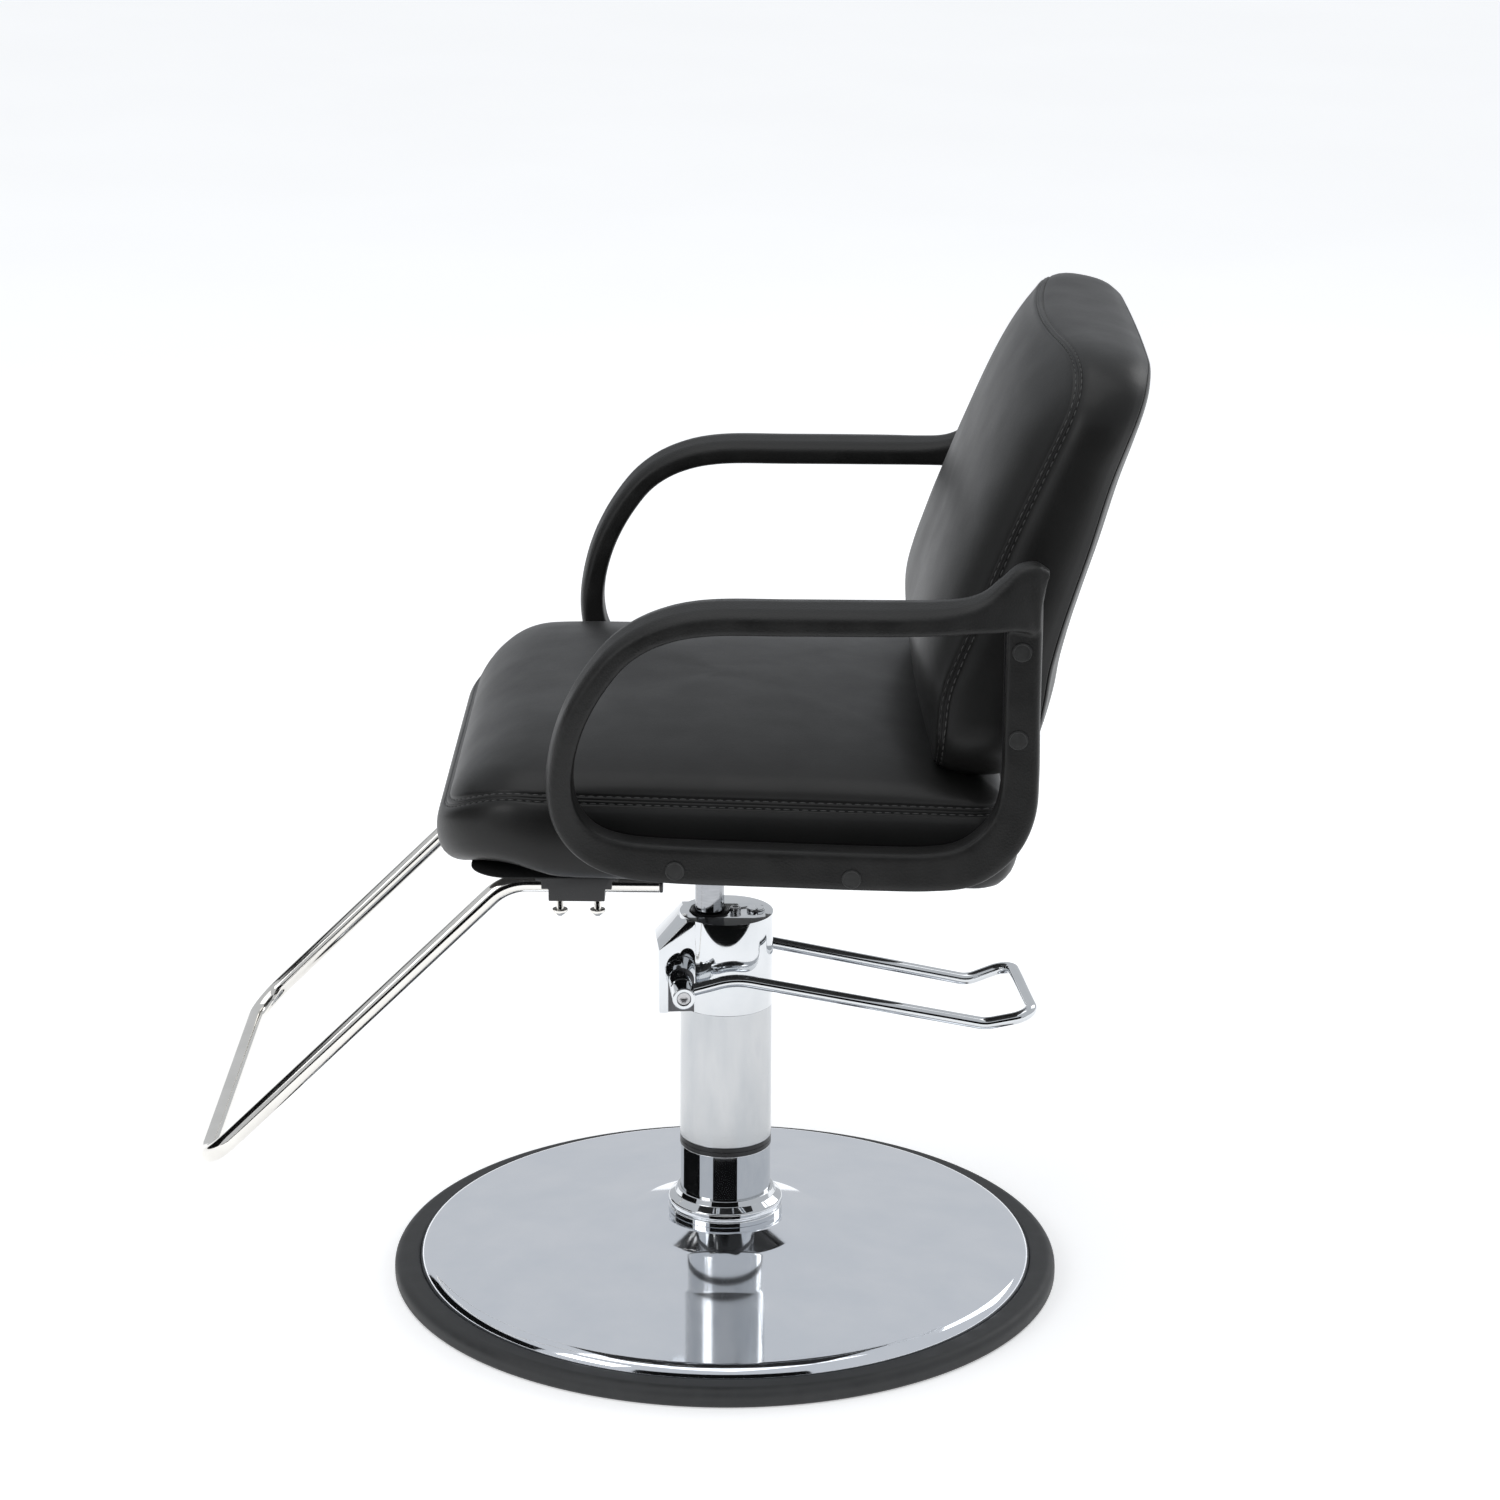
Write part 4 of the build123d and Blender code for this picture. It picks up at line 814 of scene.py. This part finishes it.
def ring_mesh(name, rings, first, last):
    """A mesh from rings of points, closed at either end by a point."""
    form = bmesh.new()
    rows = [[form.verts.new(p) for p in ring] for ring in rings]
    for low, high in zip(rows, rows[1:]):
        ring_faces(form, low, high)
    for tip, ring in ((first, rows[0][::-1]), (last, rows[-1])):
        point = form.verts.new(tip)
        for k, here in enumerate(ring):
            form.faces.new((point, here, ring[(k + 1) % len(ring)]))
    form.verts.index_update()
    return closed_form(name, form)


def swell(rings, first, last, held, reach, hold_last=False):
    """Blows the closed form up as sewn cloth: the held rings stay, and no point moves past reach."""
    pressure, frames, evenings = 3.0, 18, 30
    mesh = ring_mesh("cloth", rings, first, last)
    cloth = bpy.data.objects.new("cloth", mesh)
    bpy.context.scene.collection.objects.link(cloth)
    start = np.array([v.co for v in mesh.vertices])
    pins = cloth.vertex_groups.new(name="pins")
    count = rings.shape[1]
    for r in held:
        pins.add([r * count + k for k in range(count)], 1.0, "REPLACE")
    if hold_last:
        pins.add([len(start) - 1], 1.0, "REPLACE")
    sim = cloth.modifiers.new("cloth", "CLOTH")
    sim.settings.use_pressure = True
    sim.settings.uniform_pressure_force = pressure
    sim.settings.vertex_group_mass = "pins"
    sim.settings.quality = 6
    sim.settings.tension_stiffness = sim.settings.compression_stiffness = 18
    sim.settings.bending_stiffness = 0.8
    sim.settings.effector_weights.gravity = 0
    sim.collision_settings.use_collision = False
    scene = bpy.context.scene
    for number in range(1, frames + 1):
        scene.frame_set(number)
    blown = cloth.evaluated_get(bpy.context.evaluated_depsgraph_get()).to_mesh()
    end = np.array([v.co for v in blown.vertices])
    bpy.data.objects.remove(cloth)
    scene.frame_set(1)
    move = end - start
    move *= np.minimum(1, reach / np.maximum(np.linalg.norm(move, axis=1)[:, None], 1e-9))
    grid = move[:rings.size // 3].reshape(rings.shape)
    # the foam evens out the cloth's small folds
    for _ in range(evenings):
        beside = (np.roll(grid, 1, 1) + np.roll(grid, -1, 1)) / 2
        along = grid.copy()
        along[1:-1] = (grid[:-2] + grid[2:]) / 2
        along[0] = (grid[1] + grid[0].mean(axis=0)) / 2
        along[-1] = (grid[-2] + grid[-1].mean(axis=0)) / 2
        grid = grid * 0.4 + beside * 0.3 + along * 0.3
        for r in held:
            grid[r] = 0
    low = start[-1] if hold_last else start[-1] + grid[-1].mean(axis=0)
    return rings + grid, start[rings.size // 3] + grid[0].mean(axis=0), low


def outward_of(rings):
    """Unit normals of a grid of closed rings."""
    around = np.roll(rings, -1, 1) - np.roll(rings, 1, 1)
    along = np.gradient(rings, axis=0)
    normal = np.cross(around, along)
    return normal / np.maximum(np.linalg.norm(normal, axis=2, keepdims=True), 1e-12)


stitch_offset = 0.0036


def seam_relief(distance, double):
    """Depth of the sewing at a distance from the seam line: two stitched furrows or one crease."""
    furrow = np.exp(-(((np.abs(distance) - stitch_offset) / 0.0009) ** 2)) * 0.0015
    crease = np.exp(-((distance / 0.0006) ** 2)) * (0.0008 if double else 0.0016)
    valley = np.exp(-((distance / 0.009) ** 2)) * 0.0022
    return crease + valley + (furrow if double else 0)


def sew_row(form, line, normal):
    """Adds threads lying along a closed line of points, one for each pitch."""
    pitch, length, radius = 0.0075, 0.0056, 0.00060
    # each thread's rings: share of its length, thickness, height over the vinyl
    profile = [(-0.5, 0.25, -0.5), (-0.42, 0.8, 0.1), (-0.15, 1.0, 0.5), (0.15, 1.0, 0.5), (0.42, 0.8, 0.1),
               (0.5, 0.25, -0.5)]
    line, normal = np.vstack([line, line[:1]]), np.vstack([normal, normal[:1]])
    travelled = np.concatenate([[0], np.cumsum(np.linalg.norm(np.diff(line, axis=0), axis=1))])

    def at(s, rows):
        return Vector([np.interp(s % travelled[-1], travelled, rows[:, axis]) for axis in range(3)])
    count = int(travelled[-1] / pitch)
    for number in range(count):
        rings = []
        for share, size, lift in profile:
            s = travelled[-1] * number / count + share * length
            p, n = at(s, line), at(s, normal).normalized()
            heading = (at(s + 0.0005, line) - at(s - 0.0005, line)).normalized()
            side = heading.cross(n).normalized()
            rings.append([form.verts.new(p + n * (radius * lift) + radius * size * (
                side * math.cos(a) + n * math.sin(a))) for a in np.linspace(0, math.tau, 6, endpoint=False)])
        tube_faces(form, rings)


def sewn_cushion(name, rings, at, seams, first, last, covers):
    """The covered pad from smooth rings: fine rows at each seam, furrows, and rows of thread."""
    fullness, times_round, row_step, seam_margin = 0.85, 6, 0.006, 0.014
    beside = np.array([0.25, 0.7, 1.3, 2.0, 2.7, 3.4, 4.1, 4.8, 5.6, 7.2, 9.5, 12]) / 1000
    fine = list(np.arange(at[0], at[-1], row_step))
    for seam, double in seams:
        fine = [s for s in fine if abs(s - seam) > seam_margin] + list(seam - beside) + list(seam + beside)
    fine = np.array(sorted(fine + [at[-1]]))
    body = round_rows(across_rows(rings, at, fine), times_round)
    normal = outward_of(body)
    middle = body.mean(axis=(0, 1))
    if np.mean(np.sum((body - middle) * normal, axis=2)) < 0:
        normal = -normal
    depth = np.zeros(len(fine))
    for seam, double in seams:
        depth += seam_relief(fine - seam, double)
    body = body - normal * depth[:, None, None]
    piece = add_piece(name + "_piece", ring_mesh(name, body, first, last), black_vinyl, "chair",
                      covers, 0)
    threads = bmesh.new()
    for seam, double in seams:
        for offset in ((-stitch_offset, stitch_offset) if double else ()):
            row = int(np.argmin(np.abs(fine - (seam + offset))))
            sew_row(threads, body[row], normal[row])
    add_piece(name + "_stitches", closed_form(name + "_stitches", threads), thread_with_painted_highlight, "chair",
              [], 0)


seat_half_width, seat_front, seat_rear = 0.2600, -0.2190, 0.2500
seat_heart = np.array([0.0, 0.01])
panel_shares = np.linspace(0.06, 1, 15)


def seat_rings():
    """Rings from the top panel's middle over the seam and down the band, and how far along each lies."""
    rim = evenly_round(corner_arcs([(0, seat_front), (seat_half_width, seat_front, 0.085),
                                    (seat_half_width, seat_rear, 0.030), (0, seat_rear)], 24), 112)
    away = away_from(seat_heart, rim)

    def seam_height(y):
        # the seam falls over the front edge, so the top panel rolls down there
        nose = np.clip((-y - 0.150) / 0.069, 0, 1)
        return 0.5295 - (y + 0.215) * 0.0240 - 0.029 * nose ** 2.0
    seam_z = seam_height(rim[:, 1])
    front = np.clip((-rim[:, 1] - 0.12) / 0.09, 0, 1)
    rows = []
    for share in panel_shares:
        flat_part = rim * share + seat_heart * (1 - share)
        u, v = flat_part[:, 0] / seat_half_width, (flat_part[:, 1] - 0.012) / 0.231
        dome = np.clip(1 - u ** 4, 0, 1) * np.clip(1 - v ** 4, 0, 1) * (1 - share ** 10)
        z = seam_height(flat_part[:, 1]) + 0.029 * dome ** 0.38
        rows.append(np.column_stack([flat_part, z]))
    scale = np.mean(np.linalg.norm(rim - seat_heart, axis=1))
    at = list(panel_shares * scale)
    # how far each row of the band stands out from the seam and how far it drops
    side = [(0.0045, -0.008), (0.0075, -0.020), (0.0085, -0.034), (0.0070, -0.048), (0.0025, -0.060),
            (-0.006, -0.069), (-0.020, -0.0745), (-0.045, -0.0765)]
    front_side = [(0.0030, -0.006), (0.0055, -0.013), (0.0065, -0.022), (0.0060, -0.031), (0.0035, -0.040),
                  (-0.002, -0.047), (-0.012, -0.0515), (-0.045, -0.0530)]
    underside = 0.4475
    travelled = at[-1]
    previous = (0.0, 0.0)
    for plain, nosed in zip(side, front_side):
        push = plain[0] + (nosed[0] - plain[0]) * front
        drop = plain[1] + (nosed[1] - plain[1]) * front
        rows.append(np.column_stack([rim + away * push[:, None], np.maximum(seam_z + drop, underside)]))
        travelled += math.hypot(plain[0] - previous[0], plain[1] - previous[1])
        previous = plain
        at.append(travelled)
    return np.array(rows), np.array(at), scale


seat_rows, seat_at, seat_seam = seat_rings()
seat_top = np.array([seat_heart[0], seat_heart[1], seat_rows[0][:, 2].mean() + 0.0008])
seat_low = np.array([0.0, 0.01, 0.4535])
seat_body, seat_top, seat_low = swell(seat_rows, seat_top, seat_low, (14, 21, 22), 0.010, hold_last=True)
sewn_cushion("seat_cushion", seat_body, seat_at, [(seat_seam, True)], seat_top, seat_low,
             ("seat_cushion", "seat_board"))

# ---- Seat board and cover ---------------------------------------------------------
# Plywood under the foam, seen nowhere once it is covered, and the black dust cloth
# stapled under it.
timber = Finish("plywood")
veins = timber.grain(0.006, detail=5.0, vector=timber.stretched(0.2, 1, 1))
plywood = timber.surface(
    Base_Color=timber.tones(veins, (0.42, 0.27, 0.15), (0.58, 0.41, 0.25)), Roughness=0.7,
    Normal=timber.relief(veins, 0.0002, 0.4))
dress(plywood, "seat_board", "back_board")
lining = Finish("dust_cloth")
fibres = lining.grain(0.0012, detail=5.0)
dust_cloth = lining.surface(
    Base_Color=lining.tones(fibres, (0.010, 0.010, 0.010), (0.026, 0.026, 0.026)), Roughness=0.95,
    Normal=lining.relief(fibres, 0.0002, 0.8))
dress(dust_cloth, "seat_bottom_cover")

# ---- Back cushion -----------------------------------------------------------------
# Foam pad on a plywood panel in the same vinyl: a crowned front panel stitched down
# along both sides of its seam, a side band and a rear panel with a plain seam.
back_low, back_high, back_half_width = 0.538, 0.885, 0.2365
# the two seams seen from the side, as z and y, and how far the front panel stands proud
front_line = [(0.536, 0.1890), (0.584, 0.1915), (0.612, 0.1950), (0.640, 0.2050), (0.670, 0.2175),
              (0.740, 0.2450), (0.800, 0.2710), (0.860, 0.2980), (0.900, 0.3180)]
rear_line = [(0.536, 0.2630), (0.577, 0.2725), (0.6065, 0.2780), (0.6285, 0.2810), (0.661, 0.2890), (0.694, 0.2990),
             (0.732, 0.3110), (0.781, 0.3250), (0.813, 0.3365), (0.834, 0.3450), (0.855, 0.3530), (0.890, 0.3640)]
front_swell = [(0.536, 0.020), (0.60, 0.026), (0.69, 0.031), (0.78, 0.026), (0.86, 0.020), (0.90, 0.017)]


def on_line(line, height):
    """The line's second number at these heights."""
    rows = smooth_through(line, 12)
    return np.interp(height, rows[:, 0], rows[:, 1])


def arched_plan(high, arch_width, arch_height, fullness):
    """Evenly spaced points round the back's outline, square below and arched on top."""
    inner = back_half_width - arch_width
    lower = corner_arcs([(0, back_low), (back_half_width, back_low, 0.045),
                         (back_half_width, high - arch_height)], 24)
    arch = [Vector((inner + arch_width * math.cos(a) ** (2 / fullness),
                    high - arch_height + arch_height * math.sin(a) ** (2 / fullness)))
            for a in np.linspace(0, math.pi / 2, 80)[1:-1]]
    return evenly_round(lower + arch + [Vector((inner, high)), Vector((0, high))], 128)


def back_rings():
    """Rings from the front panel's middle over the band to the rear panel's, and how far along each lies."""
    front_plan = arched_plan(back_high, 0.115, 0.062, 2.6)
    rear_plan = arched_plan(0.872, 0.100, 0.068, 2.4)
    heart = np.array([0.0, 0.715])
    lean = np.array([0.0, -0.955, 0.297])
    rows = []

    def panel_row(plan, share, line, swelling, bow):
        flat_part = plan * share + heart * (1 - share)
        u, v = flat_part[:, 0] / back_half_width, (flat_part[:, 1] - back_low) / (back_high - back_low)
        dome = np.clip(1 - u ** 4, 0, 1) * np.clip(1 - (2 * v - 1) ** 4, 0, 1) * (1 - share ** 10)
        # the top edge bows forward between its corners
        rise = np.clip((flat_part[:, 1] - 0.70) / 0.19, 0, 1) ** 1.5 * np.clip(1 - u ** 2, 0, 1)
        y = on_line(line, flat_part[:, 1]) - bow * rise
        return np.column_stack([flat_part[:, 0], y, flat_part[:, 1]]) + lean * (swelling * dome ** 0.7)[:, None]
    for share in panel_shares:
        level = front_plan[:, 1] * share + heart[1] * (1 - share)
        rows.append(panel_row(front_plan, share, front_line, on_line(front_swell, level), 0.033))
    scale = np.mean(np.linalg.norm(front_plan - heart, axis=1))
    at = list(panel_shares * scale)
    away = away_from(heart, front_plan)
    up_back = np.array([0.0, 0.28, 0.96])
    outward = away[:, :1] * np.array([1.0, 0, 0]) + away[:, 1:] * up_back
    begin = rows[-1]
    rear_rows = [panel_row(rear_plan, share, rear_line, -0.014, -0.004) for share in panel_shares]
    finish = rear_rows[-1]
    band = np.linalg.norm(finish - begin, axis=1).mean()
    for t in np.linspace(0, 1, 10)[1:-1]:
        bulge = (0.006 + 0.004 * np.abs(away[:, :1])) * (1 - abs(2 * t - 1) ** 2.4)
        rows.append(begin * (1 - t) + finish * t + outward * bulge)
        at.append(scale + band * t)
    rear_seam = scale + band
    rows += rear_rows[::-1]
    at += list(rear_seam + (1 - panel_shares[::-1]) * scale)
    return np.array(rows), np.array(at), scale, rear_seam


back_rows, back_at, back_front_seam, back_rear_seam = back_rings()
back_first, back_last = back_rows[0].mean(axis=0), back_rows[-1].mean(axis=0)
back_body, back_first, back_last = swell(back_rows, back_first, back_last, (14, 23), 0.008)
sewn_cushion("back_cushion", back_body, back_at, [(back_front_seam, True), (back_rear_seam, False)],
             back_first, back_last, ("back_cushion", "back_board"))
